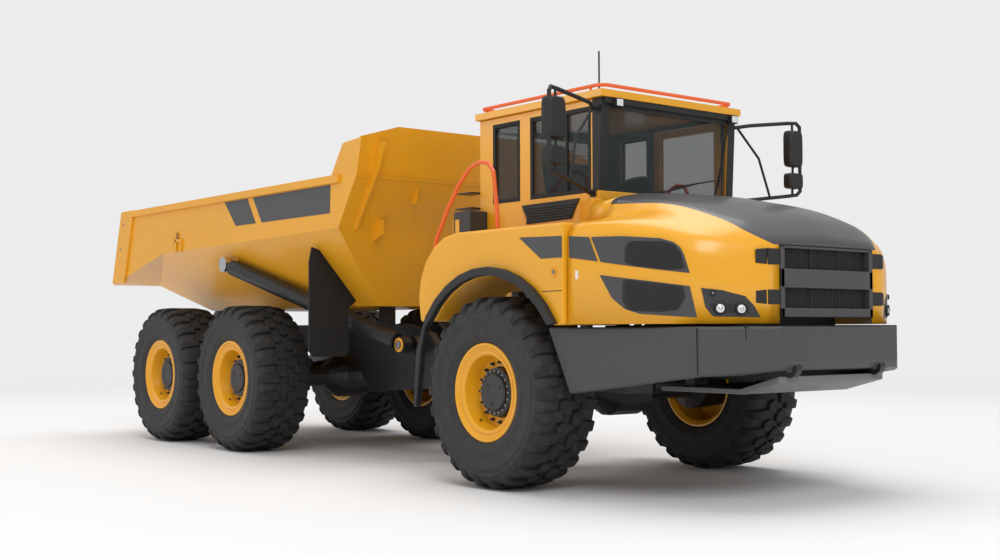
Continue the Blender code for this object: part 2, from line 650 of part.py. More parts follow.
def make_rear_of_cab():
    stack = rod((-1.04, -0.68, 2.0), (-1.00, -0.68, 3.14), 0.045, 12)
    muffler = rod((-1.09, -0.64, 1.75), (-1.09, -0.64, 2.25), 0.10, 12)
    brackets = [box((-1.06, CAB_REAR - SEAT_GAP), (-0.70, -0.64), z)
                for z in ((2.72, 2.78), (1.86, 1.94))]
    exhaust = union(stack, muffler, *brackets)
    piece("exhaust_stack", exhaust, "front_chassis", "black_paint")
    tank = box((-1.20, -0.98 - SEAT_GAP), (-1.16, -0.88), (1.42, 1.98))
    piece("hydraulic_tank", tank, "front_chassis", "yellow_paint")
    case = box((-1.08, -0.84), (-1.00, -CAB_HALF - SEAT_GAP), (2.0, 2.33))
    piece("equipment_box", case, "front_chassis", "grey_paint")


def make_steps():
    """Steps below the rear of the left fender, up to the fender and the door."""
    straps = [box((-0.93, -0.85), y, (0.50, FENDER_REAR_Z - SEAT_GAP))
              for y in ((1.10, 1.13), (1.39, 1.42))]
    treads = [box((-1.10, -0.86), (1.11, 1.41), (z, z + 0.035)) for z in (0.52, 0.79, 1.06)]
    piece("access_steps", union(*straps, *treads), "front_chassis", "black_paint")


# ---------------------------------------------------------------- hitch and rear chassis
FLANGE_X = -1.80


def make_hitch():
    drum_half = 0.16 - SEAT_GAP
    drum = turned([(0, -drum_half), (0.15, -drum_half), (0.15, drum_half), (0, drum_half)],
                  (HITCH_X, 0, HITCH_Z), (0, 0, 1))
    neck = box((-1.72, HITCH_X), (-0.12, 0.12), (HITCH_Z - 0.12, HITCH_Z + 0.12))
    ears = box((STEER_HEAD.x - 0.06, STEER_HEAD.x + 0.06), (-0.52, 0.52),
               (HITCH_Z - 0.12, HITCH_Z - 0.07))
    flange = rod((FLANGE_X + SEAT_GAP, 0, HITCH_Z), (-1.70, 0, HITCH_Z), 0.22, 20)
    piece("hitch_block", union(drum, neck, ears, flange), "hitch", "black_paint")


def make_rear_frame():
    inner = RAIL_Y - RAIL_WALL
    outline = [
        (-1.98, 1.03), (-2.2, 1.25), (-2.6, REAR_RAIL_TOP), (TIP_AXIS_X + 0.15, REAR_RAIL_TOP),
        *arc((TIP_AXIS_X, TIP_Z), 0.12, 60, 240, 6),
        (TIP_AXIS_X + 0.3, 1.08), (REAR_AXLE_X + 0.12, 1.04), (MIDDLE_AXLE_X + 0.76, 1.04),
        (-3.25, 0.64), (-2.3, 0.70),
        (-1.98, 0.70),
    ]
    rail = plate(outline, "XZ", inner, RAIL_Y)
    ear = rod((HOIST_FOOT.x, inner + 0.02, HOIST_FOOT.z),
              (HOIST_FOOT.x, HOIST_FOOT.y - HOIST_EYE - SEAT_GAP, HOIST_FOOT.z), 0.09, 14)
    pad_y = (inner + INSET, RAIL_Y - INSET)
    pad = box((-3.1, -2.9), pad_y, (REAR_RAIL_TOP - 0.05, FLOOR_Z - SEAT_GAP))
    pad_rear = box((MIDDLE_AXLE_X - 1.02, MIDDLE_AXLE_X - 0.82), pad_y, (REAR_RAIL_TOP - 0.05, FLOOR_Z - SEAT_GAP))
    bogie_x = (MIDDLE_AXLE_X + REAR_AXLE_X) / 2
    bogie_pivot = rod((bogie_x, inner + 0.02, 1.15), (bogie_x, 0.61, 1.15), 0.08, 12)
    beam_outline = [
        (MIDDLE_AXLE_X + 0.12, AXLE_Z + AXLE_RADIUS + SEAT_RISE),
        (MIDDLE_AXLE_X + 0.12, 0.96), (bogie_x + 0.25, 1.21), (bogie_x - 0.25, 1.21),
        (REAR_AXLE_X - 0.12, 0.96), (REAR_AXLE_X - 0.12, AXLE_Z + AXLE_RADIUS + SEAT_RISE),
        (REAR_AXLE_X + 0.15, AXLE_Z + AXLE_RADIUS + SEAT_RISE), (bogie_x, 1.0),
        (MIDDLE_AXLE_X - 0.15, AXLE_Z + AXLE_RADIUS + SEAT_RISE),
    ]
    beam = plate(beam_outline, "XZ", 0.56, 0.66)
    lamp = box((TIP_AXIS_X - 0.04, TIP_AXIS_X + 0.04), (inner + 0.02, 0.74), (1.15, 1.25))
    neck = box((TIP_AXIS_X - 0.07, TIP_AXIS_X + 0.32), pad_y, (1.115, 1.31))
    halves = [rail, ear, pad, pad_rear, bogie_pivot, beam, lamp, neck]
    pairs = [solid for half in halves for solid in both(half)]
    cross_y = (INSET - RAIL_Y, RAIL_Y - INSET)
    cross = [
        box((-2.10, -1.99), cross_y, (0.71, 1.03)),
        box((-3.3, -3.1), cross_y, (0.80, 1.20)),
        box((bogie_x - 0.10, bogie_x + 0.10), cross_y, (1.06, 1.30)),
        box((TIP_AXIS_X + 0.13, TIP_AXIS_X + 0.28), cross_y, (1.12, 1.30)),
    ]
    nose = rod((-2.05, 0, HITCH_Z), (FLANGE_X, 0, HITCH_Z), 0.24, 20)
    frame = union(cross[0], *cross[1:], nose, *pairs, solver="MANIFOLD")
    piece("rear_frame", frame, "rear_chassis", "black_paint")
    for axle in ("middle", "rear"):
        solid = axle_solid(AXLES[axle])
        pads = box((AXLES[axle] - 0.08, AXLES[axle] + 0.08), (0.56, 0.66),
                   (AXLE_Z, AXLE_Z + AXLE_RADIUS + SEAT_RISE - SEAT_GAP))
        piece(f"{axle}_axle", union(solid, *both(pads)), "rear_chassis", "black_paint")


# ---------------------------------------------------------------- bed
# height, and the front wall's place along the truck
FRONT_WALL = ((FLOOR_Z, -2.60), (CHINE_Z, -2.33), (BED_TOP, -2.00))
KINK_X = TIP_AXIS_X + 0.55  # where the floor turns up to the rear
REAR_FLOOR_Z = 1.86
REAR_TOP_X = 0.26          # the rear edge's top, forward of its bottom


def bed_block(inset, above, behind):
    """The trough's outer shape, or its hollow when inset by the wall."""
    floor_y = FLOOR_HALF - inset * 0.45
    half = BED_HALF - inset

    def station(xs, floor, chine, top):
        side = [(xs[2], half, top), (xs[1], half, chine), (xs[0], floor_y, floor)]
        return side + [(x, -y, z) for x, y, z in reversed(side)]

    slope = (FRONT_WALL[2][1] - FRONT_WALL[1][1]) / (FRONT_WALL[2][0] - FRONT_WALL[1][0])
    front = [x - inset for _, x in FRONT_WALL]
    front[2] += slope * above
    chine_drop = inset * 0.45
    return loft([
        station(front, FLOOR_Z + inset, CHINE_Z + chine_drop, BED_TOP + above),
        station([KINK_X] * 3, FLOOR_Z + inset, CHINE_Z - 0.06 + chine_drop, BED_TOP + above),
        station([REAR_END - behind, REAR_END - behind, REAR_END + REAR_TOP_X - behind],
                REAR_FLOOR_Z + inset + behind * 0.24, REAR_FLOOR_Z + chine_drop + behind * 0.24
                + inset * 0.6, BED_TOP + above),
    ], mirrored_ends=True)


def make_bed():
    trough = cut(bed_block(0, 0, 0), bed_block(BED_WALL, 0.3, 0.4), solver="MANIFOLD")
    wall = BED_WALL
    # front plate above the sides, leaning forward, with its corners cut
    lean_bottom, lean_top = FRONT_WALL[2][1] - 0.02, -1.93
    top = 3.20
    guard = loft([
        [(x, -half, z), (x, half, z), (x - wall, half, z), (x - wall, -half, z)]
        for x, z, half in ((lean_bottom, BED_TOP - 0.04, BED_HALF - 0.002),
                           (lean_top, 3.08, BED_HALF - 0.002), (lean_top + 0.02, top, 1.02))
    ])
    wing_outline = [(-2.50, BED_TOP - 0.04), (-2.26, 3.05), (-1.97, 3.07), (lean_top - 0.01, 3.06),
                    (lean_bottom - 0.01, BED_TOP - 0.04)]
    wing = plate(wing_outline, "XZ", BED_HALF - wall + 0.003, BED_HALF - 0.004)
    gusset_outline = [(-2.20, 2.52), (-2.09, 2.50), (lean_top + 0.02, 3.16), (lean_top - 0.01, 3.16)]
    gusset = plate(gusset_outline, "XZ", 0.68, 0.70)
    rib_outline = [(-2.45, 2.24), (-2.30, 2.24), (-1.90, 2.80), (-1.80, 3.02), (-1.97, 3.06),
                   (-2.12, 2.70)]
    rib = plate(rib_outline, "XZ", BED_HALF - 0.20, BED_HALF - 0.18)
    top_rail = box((REAR_END + REAR_TOP_X + 0.04, -2.30), (BED_HALF - 0.02, BED_HALF + 0.03),
                   (BED_TOP - 0.07, BED_TOP + 0.005))
    rear_post = loft([
        [(x, y, z) for x, y in ((rear, BED_HALF - 0.01), (rear + 0.36, BED_HALF - 0.01),
                                (rear + 0.36, BED_HALF + 0.025), (rear, BED_HALF + 0.025))]
        for rear, z in ((REAR_END + 0.02, REAR_FLOOR_Z + 0.02),
                        (REAR_END + REAR_TOP_X + 0.02, BED_TOP + 0.012))
    ])
    lug_outline = [
        *arc((TIP_AXIS_X, TIP_Z), 0.10, 190, 350, 5), (TIP_AXIS_X + 0.16, 1.56),
        (TIP_AXIS_X + 0.05, 1.66), (TIP_AXIS_X - 0.2, 1.74),
    ]
    lug = plate(lug_outline, "XZ", RAIL_Y - RAIL_WALL - RUN_GAP - 0.08, RAIL_Y - RAIL_WALL - RUN_GAP)
    head_outline = [
        *arc((HOIST_HEAD.x, HOIST_HEAD.z), 0.07, 170, 370, 6), (HOIST_HEAD.x + 0.16, 2.105),
        (HOIST_HEAD.x - 0.16, 2.105),
    ]
    hoist_plate = plate(head_outline, "XZ", BED_HALF - 0.168, BED_HALF - 0.133)
    hoist_pin = rod((HOIST_HEAD.x, BED_HALF - 0.155, HOIST_HEAD.z),
                    (HOIST_HEAD.x, HOIST_HEAD.y - HOIST_EYE - SEAT_GAP, HOIST_HEAD.z), 0.04, 12)
    eye = plate([(-2.42, 2.12), (-2.22, 2.20), (-2.22, 2.34), (-2.38, 2.36)], "XZ", 0.98, 1.01)
    halves = [wing, gusset, rib, top_rail, rear_post, lug, hoist_plate, hoist_pin, eye]
    pairs = [solid for half in halves for solid in both(half)]
    bed = union(trough, guard, *pairs, solver="MANIFOLD")
    piece("dump_bed", bed, "bed", "yellow_paint")


def make_flaps():
    """Black rubber plates that hang from the bed ahead of the middle wheels."""
    outline = [(1.12, 2.02), (1.37, 2.10), (1.40, 1.95), (1.40, 1.08), (1.36, 1.02), (0.98, 1.02),
               (0.945, 1.06), (0.945, 1.50), (0.80, 1.62)]
    for side, sign in SIDES.items():
        flap = plate([(sign * y, z) for y, z in outline], "YZ", FLAP_X - 0.02, FLAP_X)
        trim = bed_block(-SEAT_GAP, 0, 0)
        piece(f"mud_flap_{side}", cut(flap, trim), "bed", "black_plastic")


# ---------------------------------------------------------------- cylinders
def ball_eye(centre, sign, outer):
    """A hoist eye: half a ball towards the truck's middle, so that it can tilt, and a flat face out."""
    ball = [(HOIST_EYE * math.sin(turn), -HOIST_EYE * math.cos(turn))
            for turn in [math.radians(18 * step) for step in range(6)]]
    return turned([*ball, (HOIST_EYE, outer), (0, outer)], centre, (0, sign, 0), 14)


def make_cylinders():
    for side, sign in SIDES.items():
        flip = Vector((1, sign, 1))
        foot, head = HOIST_FOOT * flip, HOIST_HEAD * flip
        along = (head - foot).normalized()
        length = (head - foot).length
        barrel = turned([(0.058, 0.12), (0.085, 0.12), (0.085, length - 0.11),
                         (0.058, length - 0.11)], foot, along, 16)
        neck = rod(foot + along * 0.05, foot + along * 0.12, 0.04, 12)
        plug = rod(foot + along * 0.11, foot + along * 0.13, 0.08, 16)
        eye = ball_eye(foot, sign, 0.07)
        hoist = union(barrel, plug, neck, eye, solver="MANIFOLD")
        piece(f"hoist_barrel_{side}", hoist, f"{side}_hoist_barrel", "black_paint")
        shaft = rod(foot + along * 0.137, head - along * 0.04, 0.05, 12)
        rod_eye = ball_eye(head, sign, 0.045)
        hoist_rod = union(shaft, rod_eye, solver="MANIFOLD")
        piece(f"hoist_rod_{side}", hoist_rod, f"{side}_hoist_rod", "polished_steel")

        foot, head = STEER_FOOT * flip, STEER_HEAD * flip
        along = (head - foot).normalized()
        length = (head - foot).length
        barrel = turned([(0.034, 0.10), (0.055, 0.10), (0.055, 0.90), (0.034, 0.90)], foot, along, 12)
        plug = rod(foot + along * 0.03, foot + along * 0.14, 0.05, 12)
        eye = rod((foot.x, foot.y, foot.z - 0.06), (foot.x, foot.y, foot.z + 0.07 - SEAT_GAP),
                  0.06, 12)
        ram = union(barrel, plug, eye, solver="MANIFOLD")
        piece(f"steering_barrel_{side}", ram, f"{side}_steering_barrel", "black_paint")
        shaft = rod(foot + along * 0.495, head - along * 0.03, 0.028, 10)
        rod_eye = rod((head.x, head.y, head.z - 0.07 + SEAT_GAP), (head.x, head.y, head.z + 0.05),
                      0.05, 12)
        ram_rod = union(shaft, rod_eye, solver="MANIFOLD")
        piece(f"steering_rod_{side}", ram_rod, f"{side}_steering_rod", "polished_steel")


make_wheels()
make_front_frame()
make_front_axle()
make_engine()
make_bumper()
make_skid_plate()
make_fenders()
make_hood()
make_cab()
make_door()
make_cab_inside()
make_roof_rail()
make_mirrors()
make_grab_rails()
make_rear_of_cab()
make_steps()
make_hitch()
make_rear_frame()
make_bed()
make_flaps()
make_cylinders()
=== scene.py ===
"""The look of an articulated dump truck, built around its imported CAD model."""

import json
import math

import bmesh
import bpy
from mathutils import Matrix, Vector


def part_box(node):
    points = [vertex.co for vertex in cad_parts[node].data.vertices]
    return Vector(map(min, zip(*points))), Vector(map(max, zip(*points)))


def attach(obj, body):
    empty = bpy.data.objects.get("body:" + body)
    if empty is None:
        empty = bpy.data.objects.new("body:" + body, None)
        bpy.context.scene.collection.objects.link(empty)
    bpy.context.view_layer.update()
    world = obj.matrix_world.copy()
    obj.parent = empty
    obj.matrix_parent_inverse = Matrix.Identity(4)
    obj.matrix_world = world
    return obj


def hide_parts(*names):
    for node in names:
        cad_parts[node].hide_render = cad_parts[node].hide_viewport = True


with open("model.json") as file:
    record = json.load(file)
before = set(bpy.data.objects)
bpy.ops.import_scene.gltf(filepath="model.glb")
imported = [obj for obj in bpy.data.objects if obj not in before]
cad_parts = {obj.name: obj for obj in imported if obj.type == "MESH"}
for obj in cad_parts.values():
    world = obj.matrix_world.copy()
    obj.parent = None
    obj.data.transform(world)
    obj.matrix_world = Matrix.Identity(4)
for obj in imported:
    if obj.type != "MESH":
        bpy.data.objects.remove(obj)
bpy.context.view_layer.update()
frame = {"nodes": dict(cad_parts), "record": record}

TYRE_LOW, TYRE_HIGH = [Vector(corner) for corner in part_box("front_left_tyre")]
FRONT_X = (TYRE_LOW.x + TYRE_HIGH.x) / 2      # every x below is from the front axle
AXLES = {"front": 0.0}
for axle_name in ("middle", "rear"):
    near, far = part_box(f"{axle_name}_left_tyre")
    AXLES[axle_name] = (near[0] + far[0]) / 2 - FRONT_X
SIDES = {"left": 1, "right": -1}
AXLE_Z = (TYRE_LOW.z + TYRE_HIGH.z) / 2
WHEEL_Y = (TYRE_LOW.y + TYRE_HIGH.y) / 2


# ---------------------------------------------------------------- materials
def new_material(name, colour, roughness, metallic=0.0, coat=0.0, vary=0.06, vary_scale=3.0,
                 bump=0.0, bump_scale=60.0, rough_vary=0.08, dust=None):
    """Principled paint or plastic, with uneven colour, roughness and a fine bump."""
    material = bpy.data.materials.new(name)
    material.use_nodes = True
    nodes, links = material.node_tree.nodes, material.node_tree.links
    shader = nodes["Principled BSDF"]
    shader.inputs["Metallic"].default_value = metallic
    shader.inputs["Coat Weight"].default_value = coat
    shader.inputs["Coat Roughness"].default_value = 0.12
    place = nodes.new("ShaderNodeTexCoord")
    broad = nodes.new("ShaderNodeTexNoise")
    broad.inputs["Scale"].default_value = vary_scale
    broad.inputs["Detail"].default_value = 6.0
    links.new(place.outputs["Object"], broad.inputs["Vector"])
    tint = nodes.new("ShaderNodeMix")
    tint.data_type = "RGBA"
    tint.inputs["A"].default_value = (*[channel * (1 - vary) for channel in colour], 1)
    tint.inputs["B"].default_value = (*[min(channel * (1 + vary), 1) for channel in colour], 1)
    links.new(broad.outputs["Fac"], tint.inputs["Factor"])
    last = tint.outputs["Result"]
    if dust:
        spots = nodes.new("ShaderNodeTexNoise")
        spots.inputs["Scale"].default_value = 14.0
        spots.inputs["Detail"].default_value = 8.0
        links.new(place.outputs["Object"], spots.inputs["Vector"])
        ramp = nodes.new("ShaderNodeMapRange")
        ramp.inputs["From Min"].default_value = 0.48
        ramp.inputs["From Max"].default_value = 0.75
        ramp.inputs["To Max"].default_value = dust[1]
        links.new(spots.outputs["Fac"], ramp.inputs["Value"])
        dusty = nodes.new("ShaderNodeMix")
        dusty.data_type = "RGBA"
        dusty.inputs["B"].default_value = (*dust[0], 1)
        links.new(last, dusty.inputs["A"])
        links.new(ramp.outputs["Result"], dusty.inputs["Factor"])
        last = dusty.outputs["Result"]
    links.new(last, shader.inputs["Base Color"])
    gloss = nodes.new("ShaderNodeMapRange")
    gloss.inputs["To Min"].default_value = max(roughness - rough_vary, 0.02)
    gloss.inputs["To Max"].default_value = roughness + rough_vary
    links.new(broad.outputs["Fac"], gloss.inputs["Value"])
    links.new(gloss.outputs["Result"], shader.inputs["Roughness"])
    if bump:
        grain = nodes.new("ShaderNodeTexNoise")
        grain.inputs["Scale"].default_value = bump_scale
        grain.inputs["Detail"].default_value = 4.0
        links.new(place.outputs["Object"], grain.inputs["Vector"])
        relief = nodes.new("ShaderNodeBump")
        relief.inputs["Strength"].default_value = bump
        relief.inputs["Distance"].default_value = 0.002
        links.new(grain.outputs["Fac"], relief.inputs["Height"])
        links.new(relief.outputs["Normal"], shader.inputs["Normal"])
    return material


def glass_material(name, colour, alpha, roughness=0.03):
    material = bpy.data.materials.new(name)
    material.use_nodes = True
    shader = material.node_tree.nodes["Principled BSDF"]
    shader.inputs["Base Color"].default_value = (*colour, 1)
    shader.inputs["Roughness"].default_value = roughness
    shader.inputs["Alpha"].default_value = alpha
    shader.inputs["IOR"].default_value = 1.5
    return material


YELLOW = new_material("yellow_paint", (0.84, 0.385, 0.008), 0.36, coat=0.3, vary=0.04, bump=0.05)
BED_YELLOW = new_material("bed_yellow", (0.82, 0.37, 0.008), 0.42, coat=0.2, vary=0.07,
                          vary_scale=1.6, bump=0.12, bump_scale=35, dust=((0.55, 0.33, 0.10), 0.14))
RIM_YELLOW = new_material("rim_yellow", (0.84, 0.385, 0.008), 0.36, coat=0.3, vary=0.05)
HOOD_GREY = new_material("hood_grey", (0.058, 0.058, 0.063), 0.40, coat=0.25, vary=0.05, bump=0.08)
BUMPER_GREY = new_material("bumper_grey", (0.058, 0.058, 0.062), 0.5, vary=0.06, bump=0.15,
                           bump_scale=180)
DARK_GREY = new_material("dark_grey", (0.03, 0.03, 0.032), 0.5, vary=0.08, bump=0.1)
SKID_GREY = new_material("skid_grey", (0.16, 0.16, 0.165), 0.5, vary=0.06, bump=0.1)
BLACK = new_material("black_paint", (0.011, 0.011, 0.012), 0.42, coat=0.15, vary=0.15, bump=0.1,
                     dust=((0.10, 0.09, 0.08), 0.08))
PLASTIC = new_material("black_plastic", (0.012, 0.012, 0.012), 0.6, vary=0.1, bump=0.35,
                       bump_scale=240)
RUBBER = new_material("rubber_trim", (0.008, 0.008, 0.008), 0.7, vary=0.1, bump=0.1)
TREAD = new_material("tyre_tread", (0.014, 0.014, 0.014), 0.82, vary=0.2, vary_scale=9, bump=0.5,
                     bump_scale=90, dust=((0.07, 0.065, 0.06), 0.35))
SIDEWALL = new_material("tyre_sidewall", (0.024, 0.024, 0.025), 0.72, vary=0.16, vary_scale=6,
                        bump=0.25, bump_scale=120, dust=((0.075, 0.07, 0.065), 0.25))
STEEL = new_material("bright_steel", (0.62, 0.62, 0.64), 0.22, metallic=1.0, vary=0.04)
DULL_STEEL = new_material("dull_steel", (0.22, 0.22, 0.225), 0.45, metallic=0.6, vary=0.1)
ORANGE = new_material("orange_paint", (0.82, 0.13, 0.02), 0.38, coat=0.2, vary=0.05)
SEAT = new_material("seat_cloth", (0.03, 0.03, 0.035), 0.9, vary=0.15, bump=0.6, bump_scale=420)
WHITE = new_material("white_label", (0.8, 0.8, 0.78), 0.5, vary=0.02)
LAMP_RED = new_material("lamp_red", (0.45, 0.01, 0.01), 0.2, coat=0.5, vary=0.05)
LAMP_CLEAR = new_material("lamp_clear", (0.75, 0.77, 0.8), 0.12, coat=0.6, vary=0.05)
GLASS = glass_material("tinted_glass", (0.035, 0.05, 0.052), 0.42)
FRONT_GLASS = glass_material("front_glass", (0.04, 0.06, 0.062), 0.30)


# ---------------------------------------------------------------- mesh kit
class Shape:
    """One mesh piece, gathered from simple closed forms; x is measured from the front axle."""

    def __init__(self, name):
        self.name = name
        self.mesh = bmesh.new()
        self.materials = []

    def slot_of(self, material):
        if material not in self.materials:
            self.materials.append(material)
        return self.materials.index(material)

    def _paint(self, faces, material):
        index = self.slot_of(material)
        for face in faces:
            face.material_index = index

    def prism(self, outline, push, material):
        """A flat outline of 3-D points, pushed along a vector into a closed solid."""
        base = [self.mesh.verts.new(point) for point in outline]
        push = Vector(push)
        top = [self.mesh.verts.new(vert.co + push) for vert in base]
        count = len(base)
        faces = [self.mesh.faces.new(base), self.mesh.faces.new(top)]
        for index in range(count):
            after = (index + 1) % count
            faces.append(self.mesh.faces.new((base[index], base[after], top[after], top[index])))
        self._paint(faces, material)
        return base + top

    def box(self, low, high, material):
        (x0, y0, z0), (x1, y1, z1) = low, high
        outline = [(x0, y0, z0), (x1, y0, z0), (x1, y1, z0), (x0, y1, z0)]
        return self.prism(outline, (0, 0, z1 - z0), material)

    def grid(self, rows, material, close_rows=False, close_ends=True, wrap=True):
        """Quads between rows of points. With wrap each row is a closed ring."""
        rings = [[self.mesh.verts.new(point) for point in row] for row in rows]
        pairs = list(zip(rings, rings[1:]))
        if close_rows:
            pairs.append((rings[-1], rings[0]))
        faces = []
        for one, two in pairs:
            count = len(one)
            for index in range(count if wrap else count - 1):
                after = (index + 1) % count
                faces.append(self.mesh.faces.new((one[index], one[after], two[after], two[index])))
        if close_ends and not close_rows:
            faces += [self.mesh.faces.new(rings[0]), self.mesh.faces.new(rings[-1])]
        self._paint(faces, material)
        return [vert for ring in rings for vert in ring]

    def lathe(self, profile, centre, axis, material, steps=32, closed=False):
        """(radius, height) points turned about an axis."""
        spin = Vector(axis).to_track_quat("Z", "Y").to_matrix()
        centre = Vector(centre)
        rows = []
        for radius, height in profile:
            rows.append([
                centre + spin @ Vector((max(radius, 1e-4) * math.cos(turn),
                                        max(radius, 1e-4) * math.sin(turn), height))
                for turn in [2 * math.pi * index / steps for index in range(steps)]
            ])
        return self.grid(rows, material, close_rows=closed, close_ends=not closed)

    def rod(self, start, end, radius, material, steps=16, end_radius=None):
        start, end = Vector(start), Vector(end)
        length = (end - start).length
        tip = radius if end_radius is None else end_radius
        return self.lathe([(radius, 0), (tip, length)], start, end - start, material, steps)

    def bolt(self, at, axis, radius, height, material):
        at, axis = Vector(at), Vector(axis).normalized()
        return self.lathe([(radius, -0.004), (radius, height * 0.8), (radius * 0.8, height)], at,
                          axis, material, 6)

    def tube(self, points, radius, material, steps=10, closed=False):
        points = [Vector(point) for point in points]
        count = len(points)
        rows, side = [], None
        for index, point in enumerate(points):
            before = points[index - 1] if index or closed else None
            after = points[(index + 1) % count] if index < count - 1 or closed else None
            if before is None:
                along = (after - point).normalized()
            elif after is None:
                along = (point - before).normalized()
            else:
                along = ((point - before).normalized() + (after - point).normalized()).normalized()
            if side is None:
                side = along.orthogonal().normalized()
            side = (side - along * side.dot(along)).normalized()
            other = along.cross(side)
            rows.append([
                point + (side * math.cos(turn) + other * math.sin(turn)) * radius
                for turn in [2 * math.pi * step / steps for step in range(steps)]
            ])
        return self.grid(rows, material, close_rows=closed, close_ends=not closed)

    def cad(self, node, material):
        """A copy of a CAD node's mesh, with its flat faces whole again."""
        source = frame["nodes"][node].data
        copy = bmesh.new()
        copy.from_mesh(source)
        bmesh.ops.remove_doubles(copy, verts=copy.verts, dist=1e-5)
        bmesh.ops.dissolve_limit(copy, angle_limit=math.radians(1.0), verts=copy.verts,
                                 edges=copy.edges)
        shift = Matrix.Translation((-FRONT_X, 0, 0))
        index = self.slot_of(material)
        known = {}
        for vert in copy.verts:
            known[vert] = self.mesh.verts.new(shift @ vert.co)
        for face in copy.faces:
            made = self.mesh.faces.new([known[vert] for vert in face.verts])
            made.material_index = index
        copy.free()

    def finish(self, body, bevel=0.0, segments=2, replaces=(), smooth=35.0, angle=32.0):
        bmesh.ops.recalc_face_normals(self.mesh, faces=self.mesh.faces)
        bmesh.ops.transform(self.mesh, matrix=Matrix.Translation((FRONT_X, 0, 0)),
                            verts=self.mesh.verts)
        data = bpy.data.meshes.new(self.name)
        self.mesh.to_mesh(data)
        self.mesh.free()
        for material in self.materials:
            data.materials.append(material)
        piece = bpy.data.objects.new(self.name, data)
        bpy.context.scene.collection.objects.link(piece)
        data.shade_smooth()
        data.set_sharp_from_angle(angle=math.radians(smooth))
        if bevel:
            soften = piece.modifiers.new("edges", "BEVEL")
            soften.width = bevel
            soften.segments = segments
            soften.limit_method = "ANGLE"
            soften.angle_limit = math.radians(angle)
            soften.harden_normals = True
            soften.use_clamp_overlap = True
        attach(piece, body)
        if replaces:
            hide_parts(*replaces)
        return piece


def repaint(node, material):
    data = frame["nodes"][node].data
    data.materials.clear()
    data.materials.append(material)


# ---------------------------------------------------------------- wheels
CROWN = AXLE_Z
LUGS = 26


def wheel_point(centre, side, radius, height, turn):
    return Vector((centre[0] + radius * math.cos(turn), centre[1] + side * height,
                   centre[2] + radius * math.sin(turn)))


def make_tyre(axle, side_name):
    side = SIDES[side_name]
    centre = (AXLES[axle], side * WHEEL_Y, AXLE_Z)
    shape = Shape(f"{axle}_{side_name}_tyre_tread")
    outer = [
        (0.364, 0.232), (0.392, 0.240), (0.402, 0.262), (0.425, 0.278), (0.470, 0.291),
        (0.478, 0.295), (0.486, 0.292), (0.540, 0.300), (0.600, 0.302), (0.606, 0.3065),
        (0.614, 0.3065), (0.620, 0.302), (0.650, 0.299), (0.656, 0.3035), (0.666, 0.3035),
        (0.672, 0.297), (0.700, 0.284), (0.722, 0.262), (0.733, 0.225), (0.738, 0.12),
    ]
    profile = [(radius, -height) for radius, height in outer]
    profile += [(radius, height) for radius, height in reversed(outer)]
    shape.lathe(profile, centre, (0, side, 0), SIDEWALL, steps=96, closed=True)
    pitch = 2 * math.pi / LUGS
    stations = [(0.100, CROWN - 0.001), (0.190, CROWN - 0.003), (0.255, CROWN - 0.014),
                (0.289, CROWN - 0.045), (0.304, CROWN - 0.095)]
    for hand in (1, -1):
        for count in range(LUGS):
            middle = pitch * (count + (0.5 if hand < 0 else 0.0))
            rows = []
            for index, (height, radius) in enumerate(stations):
                lean = 0.030 * (1 - index / 4)
                half = 0.070 - 0.004 * index
                low = min(radius - 0.045, 0.728) - 0.012 * (index > 3)
                rows.append([
                    wheel_point(centre, side, low, hand * (height - 0.012), middle + lean - half),
                    wheel_point(centre, side, low, hand * (height - 0.012), middle + lean + half),
                    wheel_point(centre, side, radius, hand * height, middle + lean + half * 0.86),
                    wheel_point(centre, side, radius, hand * height, middle + lean - half * 0.86),
                ])
            shape.grid(rows, TREAD)
            start = middle + pitch * 0.5
            block = [(0.012, -0.068), (0.060, -0.092), (0.124, -0.050), (0.124, 0.048),
                     (0.070, 0.088), (0.012, 0.060)]
            rows = [
                [wheel_point(centre, side, radius, hand * height, start + swing * grow)
                 for height, swing in block]
                for radius, grow in ((CROWN - 0.05, 1.06), (CROWN - 0.001, 0.94))
            ]
            shape.grid(rows, TREAD)
    piece = shape.finish(f"{axle}_{side_name}_wheel", bevel=0.006, segments=1,
                         replaces=[f"{axle}_{side_name}_tyre"], angle=40)
    return piece


